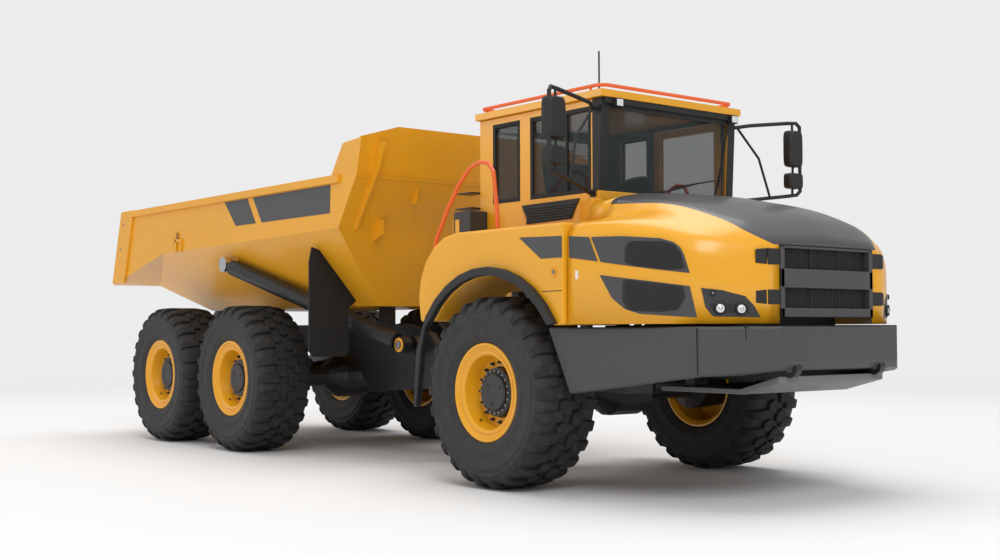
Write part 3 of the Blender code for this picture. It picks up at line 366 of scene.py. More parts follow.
def make_rim(axle, side_name):
    side = SIDES[side_name]
    centre = (AXLES[axle], side * WHEEL_Y, AXLE_Z)
    out = (0, side, 0)
    shape = Shape(f"{axle}_{side_name}_wheel_rim")
    profile = [
        (0.392, -0.262), (0.360, -0.236), (0.358, 0.232), (0.396, 0.250), (0.400, 0.262),
        (0.392, 0.270), (0.378, 0.268), (0.364, 0.252), (0.350, 0.240), (0.338, 0.240),
        (0.332, 0.248), (0.318, 0.250), (0.300, 0.236), (0.294, 0.215), (0.288, 0.118),
        (0.276, 0.100), (0.206, 0.096), (0.206, 0.080), (0.290, 0.074), (0.330, 0.050),
        (0.338, -0.226), (0.372, -0.262),
    ]
    shape.lathe(profile, centre, out, RIM_YELLOW, steps=72, closed=True)
    # the ring of the flange is split, and locks in a groove
    for turn in range(16):
        angle = 2 * math.pi * turn / 16
        at = wheel_point(centre, side, 0.243, 0.098, angle)
        shape.lathe([(0.017, -0.004), (0.017, 0.014), (0.011, 0.018), (0.011, 0.034)], at, out,
                    DARK_GREY, 6)
    for turn in (0.9, 4.1):
        at = wheel_point(centre, side, 0.300, 0.15, turn)
        shape.rod(at, wheel_point(centre, side, 0.272, 0.19, turn), 0.007, DARK_GREY, 8)
    piece = shape.finish(f"{axle}_{side_name}_wheel", bevel=0.002, segments=1,
                         replaces=[f"{axle}_{side_name}_rim"])
    hub = Shape(f"{axle}_{side_name}_hub_cap")
    hub.lathe([(0.196, 0.1425), (0.196, 0.152), (0.188, 0.156), (0.150, 0.157), (0.148, 0.176),
               (0.138, 0.184), (0.070, 0.186), (0.066, 0.181), (0, 0.181)], centre, out,
              DARK_GREY, 48)
    for turn in range(20):
        angle = 2 * math.pi * turn / 20
        hub.bolt(wheel_point(centre, side, 0.172, 0.156, angle), out, 0.012, 0.014, DULL_STEEL)
    for turn in (0.4, 2.5, 4.6):
        hub.bolt(wheel_point(centre, side, 0.095, 0.184, turn), out, 0.014, 0.008, BLACK)
    hub.finish(f"{axle}_{side_name}_wheel", bevel=0.0015, segments=1)
    return piece


for axle_name in AXLES:
    for side_name in SIDES:
        make_tyre(axle_name, side_name)
        make_rim(axle_name, side_name)


# ---------------------------------------------------------------- hood
def through(values, at):
    """A smooth curve through (x, value) points."""
    if at <= values[0][0]:
        return values[0][1]
    if at >= values[-1][0]:
        return values[-1][1]
    for index in range(len(values) - 1):
        (x0, v0), (x1, v1) = values[index], values[index + 1]
        if x0 <= at <= x1:
            before = values[index - 1] if index else (2 * x0 - x1, 2 * v0 - v1)
            after = values[index + 2] if index + 2 < len(values) else (2 * x1 - x0, 2 * v1 - v0)
            slope0 = (v1 - before[1]) / (x1 - before[0])
            slope1 = (after[1] - v0) / (after[0] - x0)
            t, span = (at - x0) / (x1 - x0), x1 - x0
            return ((2 * t ** 3 - 3 * t ** 2 + 1) * v0 + (t ** 3 - 2 * t ** 2 + t) * slope0 * span
                    + (3 * t ** 2 - 2 * t ** 3) * v1 + (t ** 3 - t ** 2) * slope1 * span)
    return values[-1][1]


HOOD_SECTIONS = [
    (0.91, [(1.42, 1.98), (1.36, 2.09), (1.02, 2.13), (0.95, 2.30), (0.64, 2.36), (0, 2.39)]),
    (1.50, [(1.31, 1.95), (1.23, 2.07), (1.00, 2.15), (0.88, 2.23), (0.64, 2.27), (0, 2.30)]),
    (1.92, [(1.14, 1.82), (1.07, 1.94), (0.90, 2.03), (0.78, 2.09), (0.64, 2.12), (0, 2.16)]),
    (2.08, [(0.94, 1.75), (0.89, 1.88), (0.80, 1.95), (0.72, 1.99), (0.62, 2.02), (0, 2.06)]),
    (2.22, [(0.68, 1.72), (0.66, 1.82), (0.63, 1.86), (0.60, 1.89), (0.55, 1.91), (0, 1.93)]),
]
SILL_Z = 1.316
TRACKS = [
    ([(x, half[k][0]) for x, half in HOOD_SECTIONS], [(x, half[k][1]) for x, half in HOOD_SECTIONS])
    for k in range(6)
]


def hood_side(x):
    """How far out the hood's side is at x."""
    return through(TRACKS[0][0], x)


def rounded(points, share=0.28, steps=3):
    """Each corner of an open line of (y, z) points, cut by a small curve."""
    line = [points[0]]
    for before, corner, after in zip(points, points[1:], points[2:]):
        start = tuple(c + (b - c) * share for b, c in zip(before, corner))
        end = tuple(c + (a - c) * share for a, c in zip(after, corner))
        for step in range(steps + 1):
            t = step / steps
            line.append(tuple((1 - t) ** 2 * s + 2 * t * (1 - t) * c + t ** 2 * e
                              for s, c, e in zip(start, corner, end)))
    line.append(points[-1])
    return line


def make_hood():
    shape = Shape("hood_skin")
    half_rows = []
    xs = [0.912 + (2.216 - 0.912) * (step / 22) for step in range(23)]
    for x in xs:
        points = [(through(ys, x), through(zs, x)) for ys, zs in TRACKS]
        sill = [(points[0][0], SILL_Z)]
        half_rows.append([(x, y, z) for y, z in rounded(sill + points)])
    width = len(half_rows[0])
    edge_row = sum(1 for y, z in rounded([(points[0][0], SILL_Z)] + points) if y > 0.60) - 2
    mesh = shape.mesh
    yellow, grey = shape.slot_of(YELLOW), shape.slot_of(HOOD_GREY)
    for sign in (1, -1):
        grid = [[mesh.verts.new((x, sign * y, z)) for x, y, z in row] for row in half_rows]
        for one, two in zip(grid, grid[1:]):
            for k in range(width - 1):
                face = mesh.faces.new((one[k], one[k + 1], two[k + 1], two[k]))
                face.material_index = grey if k >= edge_row else yellow
        cowl = []
        for x, share in ((0.668, 0.0), (0.80, 0.5), (0.912, 1.0)):
            half = [(1.005 + 0.015 * share, 2.14 - 0.01 * share),
                    (0.935 + 0.015 * share, 2.285 + 0.015 * share),
                    (0.635 + 0.005 * share, 2.345 + 0.015 * share),
                    (0, 2.375 + 0.015 * share)]
            cowl.append([mesh.verts.new((x, sign * y, z)) for y, z in rounded(half)])
        for one, two in zip(cowl, cowl[1:]):
            for k in range(len(one) - 1):
                face = mesh.faces.new((one[k], one[k + 1], two[k + 1], two[k]))
                face.material_index = grey if abs(one[k + 1].co.y) < 0.655 else yellow
        # the nose: a strip from the last section in to the grille's mouth
        last = grid[-1]
        mouth = []
        for k, vert in enumerate(last):
            y = min(abs(vert.co.y), 0.552)
            z = min(max(vert.co.z, SILL_Z), 1.882)
            mouth.append(mesh.verts.new((2.219, sign * y, z)))
        for k in range(width - 1):
            face = mesh.faces.new((last[k], last[k + 1], mouth[k + 1], mouth[k]))
            face.material_index = grey if k >= edge_row else yellow
    bmesh.ops.remove_doubles(mesh, verts=mesh.verts, dist=1e-5)
    piece = shape.finish("hood", replaces=["hood"], smooth=50)
    shell = piece.modifiers.new("thickness", "SOLIDIFY")
    shell.thickness = 0.012
    shell.offset = -1
    return piece


def side_panel(shape, outline, lift, depth, material, cuts=12):
    """A plate that follows the hood's side: outline is (x, z) points."""
    for sign in (1, -1):
        work = bmesh.new()
        near = [work.verts.new((x, lift, z)) for x, z in outline]
        far = [work.verts.new((x, -depth, z)) for x, z in outline]
        work.faces.new(near)
        work.faces.new(far)
        count = len(outline)
        for index in range(count):
            after = (index + 1) % count
            work.faces.new((near[index], near[after], far[after], far[index]))
        low = min(x for x, _ in outline)
        high = max(x for x, _ in outline)
        for step in range(1, cuts):
            x = low + (high - low) * step / cuts
            bmesh.ops.bisect_plane(work, geom=[*work.verts, *work.edges, *work.faces],
                                   plane_co=(x, 0, 0), plane_no=(1, 0, 0))
        index = shape.slot_of(material)
        known = {}
        for vert in work.verts:
            known[vert] = shape.mesh.verts.new(
                (vert.co.x, sign * (hood_side(vert.co.x) + vert.co.y), vert.co.z))
        for face in work.faces:
            shape.mesh.faces.new([known[vert] for vert in face.verts]).material_index = index
        work.free()


WIRE_RADIUS = 0.0022       # of the mesh behind the hood's side openings
WIRE_SPACING = 0.016


def make_hood_sides():
    shape = Shape("hood_side_grilles")
    upper = [(1.135, 1.965), (1.41, 1.958), (1.708, 1.93), (1.80, 1.90), (1.845, 1.86),
             (1.87, 1.803), (1.906, 1.675), (1.594, 1.719), (1.222, 1.776)]
    lower = [(1.213, 1.679), (1.63, 1.624), (1.904, 1.583), (1.923, 1.483), (1.943, 1.360),
             (1.552, 1.388), (1.43, 1.426), (1.32, 1.508)]
    for outline in (upper, lower):
        side_panel(shape, outline, 0.006, 0.006, BUMPER_GREY)
    upper_mesh = [(1.491, 1.918), (1.740, 1.905), (1.815, 1.880), (1.850, 1.830), (1.880, 1.711),
                  (1.776, 1.700), (1.522, 1.735), (1.436, 1.768), (1.436, 1.87)]
    lower_mesh = [(1.457, 1.640), (1.868, 1.580), (1.880, 1.498), (1.827, 1.414), (1.703, 1.400),
                  (1.488, 1.412), (1.415, 1.477), (1.418, 1.627)]
    for outline in (upper_mesh, lower_mesh):
        side_panel(shape, outline, 0.009, 0.004, PLASTIC)
    decal = [(0.925, 1.982), (1.110, 1.966), (1.197, 1.780), (0.925, 1.818)]
    side_panel(shape, decal, 0.0035, 0.004, BUMPER_GREY, cuts=4)
    shape.finish("hood", bevel=0.003, segments=1)
    label = Shape("hood_side_labels")
    side_panel(label, [(0.985, 1.72), (1.01, 1.718), (1.01, 1.655), (0.985, 1.657)], 0.002, 0.003,
               WHITE, cuts=2)
    label.finish("hood")
    mesh = Shape("hood_side_mesh")
    for (x0, x1, low_line, high_line) in (
            (1.45, 1.86, lambda x: 1.765 - (x - 1.45) * 0.17,
             lambda x: 1.905 - max(x - 1.6, 0) ** 2 * 1.2),
            (1.44, 1.85, lambda x: 1.420, lambda x: 1.632 - (x - 1.44) * 0.135)):
        for slope in (1, -1):
            start = x0 - 0.20
            while start < x1 + 0.20:
                points = []
                for step in range(15):
                    share = step / 14
                    x = start + slope * 0.12 * (share - 0.5)
                    if not x0 <= x <= x1:
                        continue
                    z = low_line(x) + (high_line(x) - low_line(x)) * share
                    points.append((x, z))
                picked = points[::3] + points[-1:]
                if len(points) > 2 and len(set(picked)) == len(picked):
                    for sign in (1, -1):
                        path = [(x, sign * (hood_side(x) + 0.011), z) for x, z in picked]
                        mesh.tube(path, WIRE_RADIUS, DARK_GREY, 4)
                start += WIRE_SPACING
    mesh.finish("hood")


def side_normal(x, sign):
    slope = (hood_side(x + 0.01) - hood_side(x - 0.01)) / 0.02
    return Vector((-slope, sign, 0)).normalized()


def make_headlamps():
    shape = Shape("headlamp_units")
    glass = Shape("headlamp_glasses")
    outline = [(1.969, 1.568), (2.054, 1.553), (2.14, 1.511), (2.17, 1.447), (2.194, 1.360),
               (2.02, 1.366), (1.987, 1.433)]
    side_panel(shape, outline, 0.008, 0.012, DARK_GREY)
    inner = [(2.005, 1.458), (2.150, 1.455), (2.160, 1.392), (2.030, 1.388)]
    side_panel(shape, inner, 0.011, 0.004, PLASTIC)
    for sign in (1, -1):
        for x, z, radius in ((2.045, 1.424, 0.036), (2.125, 1.420, 0.036), (2.015, 1.532, 0.013)):
            out = side_normal(x, sign)
            middle = Vector((x, sign * hood_side(x), z)) + out * 0.008
            shape.lathe([(radius + 0.008, -0.002), (radius + 0.008, 0.010), (radius, 0.013),
                         (radius - 0.004, 0.003)], middle, out, PLASTIC, 24)
            glass.lathe([(radius - 0.004, 0.0), (radius - 0.006, 0.007), (radius * 0.5, 0.012),
                         (0, 0.013)], middle, out, LAMP_CLEAR, 24)
            shape.lathe([(radius * 0.45, 0.0), (radius * 0.45, 0.014), (radius * 0.2, 0.019)],
                        middle, out, STEEL, 16)
    shape.finish("hood", bevel=0.003, segments=1)
    glass.finish("hood")


def make_grille():
    shape = Shape("grille_frame")
    x = 2.168
    shape.box((x - 0.012, -0.548, 1.362), (x, 0.548, 1.878), PLASTIC)
    bars = [((-0.549, 1.862), (0.549, 1.879)), ((-0.549, 1.575), (0.549, 1.715)),
            ((-0.549, 1.362), (0.549, 1.430)), ((-0.549, 1.362), (-0.505, 1.879)),
            ((0.505, 1.362), (0.549, 1.879))]
    for (y0, z0), (y1, z1) in bars:
        shape.box((x, y0, z0), (2.232, y1, z1), BUMPER_GREY)
    shape.finish("hood", bevel=0.006, replaces=["grille"])
    mesh = Shape("grille_mesh")
    for z0, z1 in ((1.715, 1.862), (1.430, 1.575)):
        y = -0.504
        while y < 0.504:
            mesh.box((2.190, y - 0.0022, z0), (2.195, y + 0.0022, z1), DARK_GREY)
            y += 0.022
        rows = 7
        for row in range(1, rows):
            z = z0 + (z1 - z0) * row / rows
            mesh.box((2.187, -0.505, z - 0.0022), (2.191, 0.505, z + 0.0022), DARK_GREY)
        for y in (-0.17, 0.17):
            mesh.box((2.180, y - 0.006, z0), (2.198, y + 0.006, z1), PLASTIC)
    mesh.finish("hood")
    vents = Shape("nose_corner_vents")
    for z0, z1 in ((1.735, 1.858), (1.450, 1.562)):
        side_panel(vents, [(2.178, z0 + 0.012), (2.2155, z0 + 0.004), (2.2155, z1 - 0.004),
                           (2.178, z1 - 0.012)], 0.004, 0.01, PLASTIC, cuts=3)
        for sign in (1, -1):
            low, high = sorted((sign * 0.556, sign * 0.678))
            vents.box((2.190, low, z0 + 0.004), (2.2245, high, z1 - 0.004), PLASTIC)
    vents.finish("hood", bevel=0.005)


make_hood()
make_hood_sides()
make_headlamps()
make_grille()


# ---------------------------------------------------------------- softened CAD pieces
SOFTENED = {
    "front_bumper": (BUMPER_GREY, "grey_paint", 0.018),
    "skid_plate": (SKID_GREY, "grey_paint", 0.008),
    "front_fender_left": (YELLOW, "yellow_paint", 0.022),
    "front_fender_right": (YELLOW, "yellow_paint", 0.022),
    "fender_flare_left": (PLASTIC, "black_plastic", 0.010),
    "fender_flare_right": (PLASTIC, "black_plastic", 0.010),
    "cab_shell": (YELLOW, "yellow_paint", 0.010),
    "cab_door": (YELLOW, "yellow_paint", 0.006),
    "cab_roof": (YELLOW, "yellow_paint", 0.018),
    "dump_bed": (BED_YELLOW, "yellow_paint", 0.006),
    "front_frame": (BLACK, "black_paint", 0.006),
    "rear_frame": (BLACK, "black_paint", 0.006),
    "hitch_block": (BLACK, "black_paint", 0.006),
    "hydraulic_tank": (YELLOW, "yellow_paint", 0.018),
    "equipment_box": (DARK_GREY, "grey_paint", 0.012),
    "mud_flap_left": (RUBBER, "black_plastic", 0.004),
    "mud_flap_right": (RUBBER, "black_plastic", 0.004),
    "steering_console": (PLASTIC, "black_plastic", 0.012),
    "engine_block": (DARK_GREY, "black_paint", 0.015),
}
BODY_OF = {node: body for body, nodes in frame["record"]["behaviour"]["bodies"].items()
           for node in nodes}
for node, (material, slot, width) in SOFTENED.items():
    shape = Shape(f"{node}_skin")
    shape.cad(node, material)
    if node == "cab_shell":
        inside = shape.slot_of(DARK_GREY)
        for face in shape.mesh.faces:
            middle = face.calc_center_median()
            if abs(middle.y) < 0.765 and -0.915 < middle.x < 0.50 and middle.z > 1.64:
                face.material_index = inside
    if node == "cab_roof":
        antenna = shape.slot_of(BLACK)
        for face in shape.mesh.faces:
            if all(abs(vert.co.x - 0.42) < 0.02 for vert in face.verts):
                face.material_index = antenna
    shape.finish(BODY_OF[node], bevel=width, segments=3, replaces=[node])

for node in ("front_axle", "middle_axle", "rear_axle", "access_steps", "hoist_barrel_left",
             "hoist_barrel_right", "steering_barrel_left", "steering_barrel_right"):
    repaint(node, BLACK)
for node in ("hoist_rod_left", "hoist_rod_right", "steering_rod_left", "steering_rod_right"):
    repaint(node, STEEL)
for node in ("roof_rail", "grab_rail_left", "grab_rail_right"):
    repaint(node, ORANGE)
for node in ("rear_window", "side_window_right", "quarter_window_left", "quarter_window_right",
             "door_glass"):
    repaint(node, GLASS)
repaint("windshield", FRONT_GLASS)
repaint("operator_seat", SEAT)


# ---------------------------------------------------------------- fenders and bumper
def make_fender_details():
    shape = Shape("fender_details")
    for sign in (1, -1):
        face = sign * 1.4605
        panel = [(0.39, face, 2.0), (0.893, face, 1.984), (0.893, face, 1.822), (0.65, face, 1.822)]
        shape.prism(panel, (0, sign * 0.003, 0), BUMPER_GREY)
        shape.prism([(0.66, face, 1.574), (0.888, face, 1.574), (0.888, face, 1.568),
                     (0.66, face, 1.568)], (0, sign * 0.001, 0), RUBBER)
        centre = (0.80, face, 1.715)
        shape.lathe([(0.040, 0), (0.040, 0.004), (0.034, 0.007), (0.030, 0.001), (0, 0.001)],
                    centre, (0, sign, 0), BED_YELLOW, 24)
        shape.lathe([(0.016, 0.001), (0.016, 0.006), (0, 0.007)], centre, (0, sign, 0), DULL_STEEL,
                    16)
    shape.finish("front_chassis", bevel=0.001, segments=1)


def make_bumper_details():
    shape = Shape("bumper_details")
    for sign in (1, -1):
        shape.prism([(1.994, sign * 1.178, 0.955), (2.004, sign * 1.181, 0.955),
                     (2.004, sign * 1.181, 1.285), (1.994, sign * 1.183, 1.285)],
                    (0.0, sign * 0.004, 0), RUBBER)
        shape.lathe([(0.020, -0.001), (0.020, 0.0005), (0.012, 0.001)],
                    (2.3475, sign * 0.44, 1.205), (1, 0, 0), WHITE, 4)
        low, high = sorted((sign * 0.47, sign * 0.53))
        outline = [(2.06, low, 0.925)]
        outline += [(2.285 + 0.062 * math.cos(turn), low, 0.990 + 0.062 * math.sin(turn))
                    for turn in [math.radians(-90 + 20 * step) for step in range(10)]]
        outline += [(2.10, low, 1.06)]
        shape.prism(outline, (0, high - low, 0), BLACK)
        shape.rod((2.285, low - 0.012, 0.99), (2.285, high + 0.012, 0.99), 0.022, DULL_STEEL, 16)
        low, high = sorted((sign * 0.62, sign * 1.10))
        shape.box((0.98, low, 1.16), (1.90, high, 1.308), RUBBER)
    shape.box((1.90, -0.90, 1.20), (2.20, 0.90, 1.306), RUBBER)
    shape.box((2.325, -0.44, 1.020), (2.340, 0.44, 1.064), RUBBER)
    shape.rod((2.342, -0.44, 1.048), (2.342, 0.44, 1.048), 0.007, DARK_GREY, 8)
    shape.finish("front_chassis", bevel=0.004, segments=2)


# ---------------------------------------------------------------- cab
CAB_SIDE = 0.80


def cab_front(z):
    return 0.56 + 0.055 * (z - 1.62)


def rim_boxes(shape, plane, at, thick, outer, inner, material):
    """A window's rubber: four bars between two rectangles on a plane."""
    (a0, z0, a1, z1), (b0, w0, b1, w1) = outer, inner
    for low_a, low_z, high_a, high_z in ((a0, z0, a1, w0), (a0, w1, a1, z1), (a0, w0, b0, w1),
                                         (b1, w0, a1, w1)):
        ends = sorted((at, at + thick))
        if plane == "y":
            shape.box((low_a, ends[0], low_z), (high_a, ends[1], high_z), material)
        else:
            shape.box((ends[0], low_a, low_z), (ends[1], high_a, high_z), material)


def make_cab_details():
    trim = Shape("cab_window_trim")
    for sign, spans in ((-1, ((-0.24, 0.50), (-0.75, -0.40))), (1, ((-0.75, -0.40),))):
        for low, high in spans:
            rim_boxes(trim, "y", sign * (CAB_SIDE - 0.022), sign * 0.025,
                      (low - 0.012, 2.388, high + 0.012, 3.092),
                      (low + 0.022, 2.422, high - 0.022, 3.058), RUBBER)
    trim.box((0.20, -CAB_SIDE - 0.001, 2.41), (0.222, -CAB_SIDE + 0.02, 3.07), RUBBER)
    rim_boxes(trim, "x", -0.952, 0.02, (-0.632, 2.388, 0.632, 3.092), (-0.60, 2.42, 0.60, 3.06),
              RUBBER)
    # black front pillars and header around the windshield
    for sign in (1, -1):
        outline = [(cab_front(2.40) + 0.001, sign * 0.715, 2.40),
                   (cab_front(2.40) + 0.001, sign * 0.801, 2.40),
                   (cab_front(3.148) + 0.001, sign * 0.801, 3.148),
                   (cab_front(3.148) + 0.001, sign * 0.715, 3.148)]
        trim.prism(outline, (0.004, 0, 0), PLASTIC)
        back = 0.53
        outline = [(back, sign * 0.8005, 2.40), (cab_front(2.40) + 0.004, sign * 0.8005, 2.40),
                   (cab_front(3.148) + 0.004, sign * 0.8005, 3.148), (back, sign * 0.8005, 3.148)]
        trim.prism(outline, (0, sign * 0.004, 0), PLASTIC)
    trim.prism([(cab_front(3.06) + 0.001, -0.715, 3.06), (cab_front(3.06) + 0.001, 0.715, 3.06),
                (cab_front(3.148) + 0.001, 0.715, 3.148),
                (cab_front(3.148) + 0.001, -0.715, 3.148)],
               (0.005, 0, 0), PLASTIC)
    trim.box((0.618, -0.79, 3.10), (0.672, 0.79, 3.148), PLASTIC)
    trim.finish("front_chassis", bevel=0.002, segments=1)

    louvre = Shape("cab_side_louvre")
    outline = [(-0.36, 2.345), (0.38, 2.352), (0.325, 2.27), (0.28, 2.19), (-0.30, 2.18),
               (-0.29, 2.23)]
    louvre.prism([(x, -0.801, z) for x, z in outline], (0, -0.010, 0), PLASTIC)
    for row in range(6):
        z = 2.205 + 0.022 * row
        low = -0.285 - 0.010 * row
        high = 0.270 + 0.012 * row
        louvre.prism([(low, -0.810, z), (high, -0.810, z), (high, -0.822, z - 0.006),
                      (low, -0.822, z - 0.006)], (0, 0, 0.007), DARK_GREY)
    louvre.finish("front_chassis", bevel=0.0015, segments=1)

    cowl = Shape("cowl_sides")
    cowl.prism([(0.40, -0.801, 2.10), (0.650, -0.801, 2.10), (0.650, -0.925, 2.10),
                (0.40, -0.83, 2.10)], (0, 0, 0.225), YELLOW)
    cowl.prism([(0.600, 0.801, 2.10), (0.650, 0.801, 2.10), (0.650, 0.925, 2.10),
                (0.600, 0.905, 2.10)], (0, 0, 0.225), YELLOW)
    cowl.finish("front_chassis", bevel=0.014, segments=3)

    guard = Shape("rear_window_guard")
    y = -0.60
    while y < 0.601:
        guard.box((-0.964, y - 0.002, 2.40), (-0.960, y + 0.002, 3.08), BED_YELLOW)
        y += 0.04
    z = 2.42
    while z < 3.08:
        guard.box((-0.968, -0.61, z - 0.002), (-0.964, 0.61, z + 0.002), BED_YELLOW)
        z += 0.04
    for y in (-0.61, 0.61):
        guard.rod((-0.960, y, 2.39), (-0.960, y, 3.09), 0.008, BED_YELLOW, 8)
    guard.finish("front_chassis")

    lamps = Shape("roof_work_lamps")
    for sign, y in ((-1, 0.655), (1, 0.735)):
        lamps.box((0.640, sign * y - 0.045, 3.075), (0.700, sign * y + 0.045, 3.145), PLASTIC)
        lamps.box((0.700, sign * y - 0.034, 3.083), (0.706, sign * y + 0.034, 3.137), LAMP_CLEAR)
        lamps.rod((0.63, sign * y, 3.14), (0.67, sign * y, 3.14), 0.012, PLASTIC, 8)
    lamps.finish("front_chassis", bevel=0.004, segments=2)

    wipers = Shape("wipers")
    for foot, head, blade in (
            ((0.625, 0.55, 2.42), (0.648, 0.64, 2.78), Vector((0.004, 0.14, 0.60))),
            ((0.625, -0.10, 2.42), (0.632, 0.30, 2.52), Vector((0, 0.55, 0.10)))):
        wipers.tube([foot, (foot[0] + 0.012, (foot[1] + head[1]) / 2, (foot[2] + head[2]) / 2),
                     head], 0.008, RUBBER, 8)
        wipers.rod(foot, (foot[0] - 0.02, foot[1], foot[2] - 0.01), 0.018, PLASTIC, 12)
        middle = Vector(head)
        wipers.rod(middle - blade * 0.45, middle + blade * 0.45, 0.007, RUBBER, 6)
    wipers.finish("front_chassis")


def mirror_head(shape, centre, size):
    """A rounded mirror housing; the glass on its rear face is added by the caller."""
    cx, cy, cz = centre
    sx, sy, sz = size
    rows = []
    for depth, grow in ((-1.0, 0.90), (-0.82, 0.99), (0.0, 1.0), (0.6, 0.93), (1.0, 0.68)):
        ring = []
        for step in range(28):
            turn = 2 * math.pi * step / 28
            cos, sin = math.cos(turn), math.sin(turn)
            y = math.copysign(abs(cos) ** 0.35, cos) * sy * grow
            z = math.copysign(abs(sin) ** 0.35, sin) * sz * (grow * 0.3 + 0.7)
            ring.append((cx + depth * sx, cy + y, cz + z))
        rows.append(ring)
    shape.grid(rows, PLASTIC)


def make_mirrors():
    for name, sign in SIDES.items():
        shape = Shape(f"mirror_{name}_arms")
        path = [(0.60, 0.801, 3.06), (0.60, 0.85, 3.06), (0.68, 0.97, 3.08), (0.76, 1.38, 3.13),
                (0.785, 1.47, 3.135), (0.80, 1.50, 3.10), (0.80, 1.50, 2.52), (0.785, 1.47, 2.485),
                (0.76, 1.38, 2.472), (0.58, 0.97, 2.42), (0.54, 0.85, 2.38), (0.54, 0.801, 2.38)]
        shape.tube([(x, sign * y, z) for x, y, z in path], 0.017, PLASTIC, 12)
        shape.tube([(x, sign * y, z) for x, y, z in ((0.61, 0.86, 3.07), (0.66, 1.10, 2.80),
                                                     (0.70, 1.20, 2.455))], 0.011, PLASTIC, 8)
        shape.tube([(x, sign * y, z) for x, y, z in ((0.78, 1.42, 3.13), (0.785, 1.42, 2.80),
                                                     (0.775, 1.42, 2.475))], 0.011, PLASTIC, 8)
        for foot in ((0.60, 3.06), (0.54, 2.38)):
            shape.box((foot[0] - 0.03, min(sign * 0.801, sign * 0.815), foot[1] - 0.03),
                      (foot[0] + 0.03, max(sign * 0.801, sign * 0.815), foot[1] + 0.03), PLASTIC)
        mirror_head(shape, (0.785, sign * 1.435, 2.90), (0.045, 0.100, 0.165))
        mirror_head(shape, (0.785, sign * 1.435, 2.61), (0.045, 0.100, 0.070))
        for z, half in ((2.90, 0.145), (2.61, 0.052)):
            shape.box((0.7375, sign * 1.435 - 0.080, z - half),
                      (0.7395, sign * 1.435 + 0.080, z + half), STEEL)
        shape.finish("front_chassis", replaces=[f"mirror_{name}"])


def make_rear_of_cab_details():
    shape = Shape("hose_bundle")
    for index in range(6):
        y = -0.86 - 0.035 * index
        back = 1.285 + 0.02 * (index % 3)
        points = [(-0.99, y, 2.02 - 0.01 * index), (-1.08, y, 2.07), (-1.18, y, 2.04),
                  (-back + 0.03, y, 1.92), (-back, y + 0.01, 1.72), (-back, y + 0.02, 1.52),
                  (-back + 0.05, y + 0.03, 1.34), (-1.15, y + 0.05, 1.24), (-1.02, y + 0.10, 1.20)]
        smooth = []
        for a, b in zip(points, points[1:]):
            smooth += [a, tuple((u + v) / 2 for u, v in zip(a, b))]
        smooth.append(points[-1])
        shape.tube(smooth, 0.014, RUBBER, 8)
        for z in (1.52, 1.72):
            if index % 2 == 0:
                shape.rod((-back, y + 0.015, z), (-back, y + 0.015, z + 0.03), 0.0155, WHITE, 8)
    shape.finish("front_chassis", smooth=60)
    shape = Shape("cab_rear_fittings")
    shape.box((-1.19, -0.90, 2.36), (-0.955, -0.72, 2.375), BLACK)
    shape.box((-1.17, -0.90, 2.50), (-0.955, -0.74, 2.512), BLACK)
    shape.box((-1.090, -1.004, 2.10), (-1.0805, -0.90, 2.26), YELLOW)
    shape.box((-1.05, -1.006, 2.08), (-0.99, -1.001, 2.26), YELLOW)
    shape.lathe([(0.045, 0), (0.045, 0.02), (0.02, 0.035), (0, 0.035)], (-1.09, -1.02, 1.982),
                (0, 0, 1), BLACK, 20)
    shape.finish("front_chassis", bevel=0.003, segments=1)
    stack = Shape("exhaust_pipe")
    stack.rod((-1.04, -0.68, 2.0), (-1.00, -0.68, 3.10), 0.043, HOOD_GREY, 24)
    stack.tube([(-1.00, -0.68, 3.07), (-1.0, -0.68, 3.10), (-1.012, -0.68, 3.125)], 0.040,
               DARK_GREY, 20)
    stack.rod((-1.09, -0.64, 1.75), (-1.09, -0.64, 2.25), 0.098, DARK_GREY, 28)
    for z in (1.80, 2.0, 2.2):
        stack.rod((-1.09, -0.64, z), (-1.09, -0.64, z + 0.02), 0.101, DULL_STEEL, 28)
    for z in (2.72, 1.86):
        stack.box((-1.06, -0.70, z), (-0.951, -0.64, z + 0.06), BLACK)
    stack.finish("front_chassis", bevel=0.003, segments=1,
                 replaces=["exhaust_stack"])


# ---------------------------------------------------------------- bed and rear frame
BED_SIDE = 1.4305
REAR_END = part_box("dump_bed")[0][0] - FRONT_X


def make_bed_details():
    shape = Shape("bed_decal_panels")
    for sign in (1, -1):
        for outline in ([(-4.65, 2.672), (-4.135, 2.672), (-3.95, 2.40), (-4.39, 2.40)],
                        [(-4.01, 2.672), (-2.47, 2.672), (-2.48, 2.40), (-3.82, 2.40)]):
            shape.prism([(x, sign * BED_SIDE, z) for x, z in outline], (0, sign * 0.003, 0),
                        BUMPER_GREY)
    shape.finish("bed")
    fittings = Shape("bed_fittings")
    for sign in (1, -1):
        for x, z in ((REAR_END + 0.36, 2.60), (REAR_END + 0.27, 2.30)):
            fittings.bolt((x, sign * 1.454, z), (0, sign, 0), 0.018, 0.004, DULL_STEEL)
        low, high = sorted((sign * 1.425, sign * 1.455))
        fittings.box((-5.95, low, 2.30), (-5.72, high, 2.335), BED_YELLOW)
        fittings.box((-5.85, low, 2.19), (-5.82, high, 2.42), BED_YELLOW)
        fittings.box((-5.72, low, 2.19), (-5.69, high, 2.33), BED_YELLOW)
        for z in (2.355, 2.395):
            fittings.bolt((-5.80, sign * 1.446, z), (0, sign, 0), 0.014, 0.008, DULL_STEEL)
    fittings.finish("bed", bevel=0.003, segments=1)


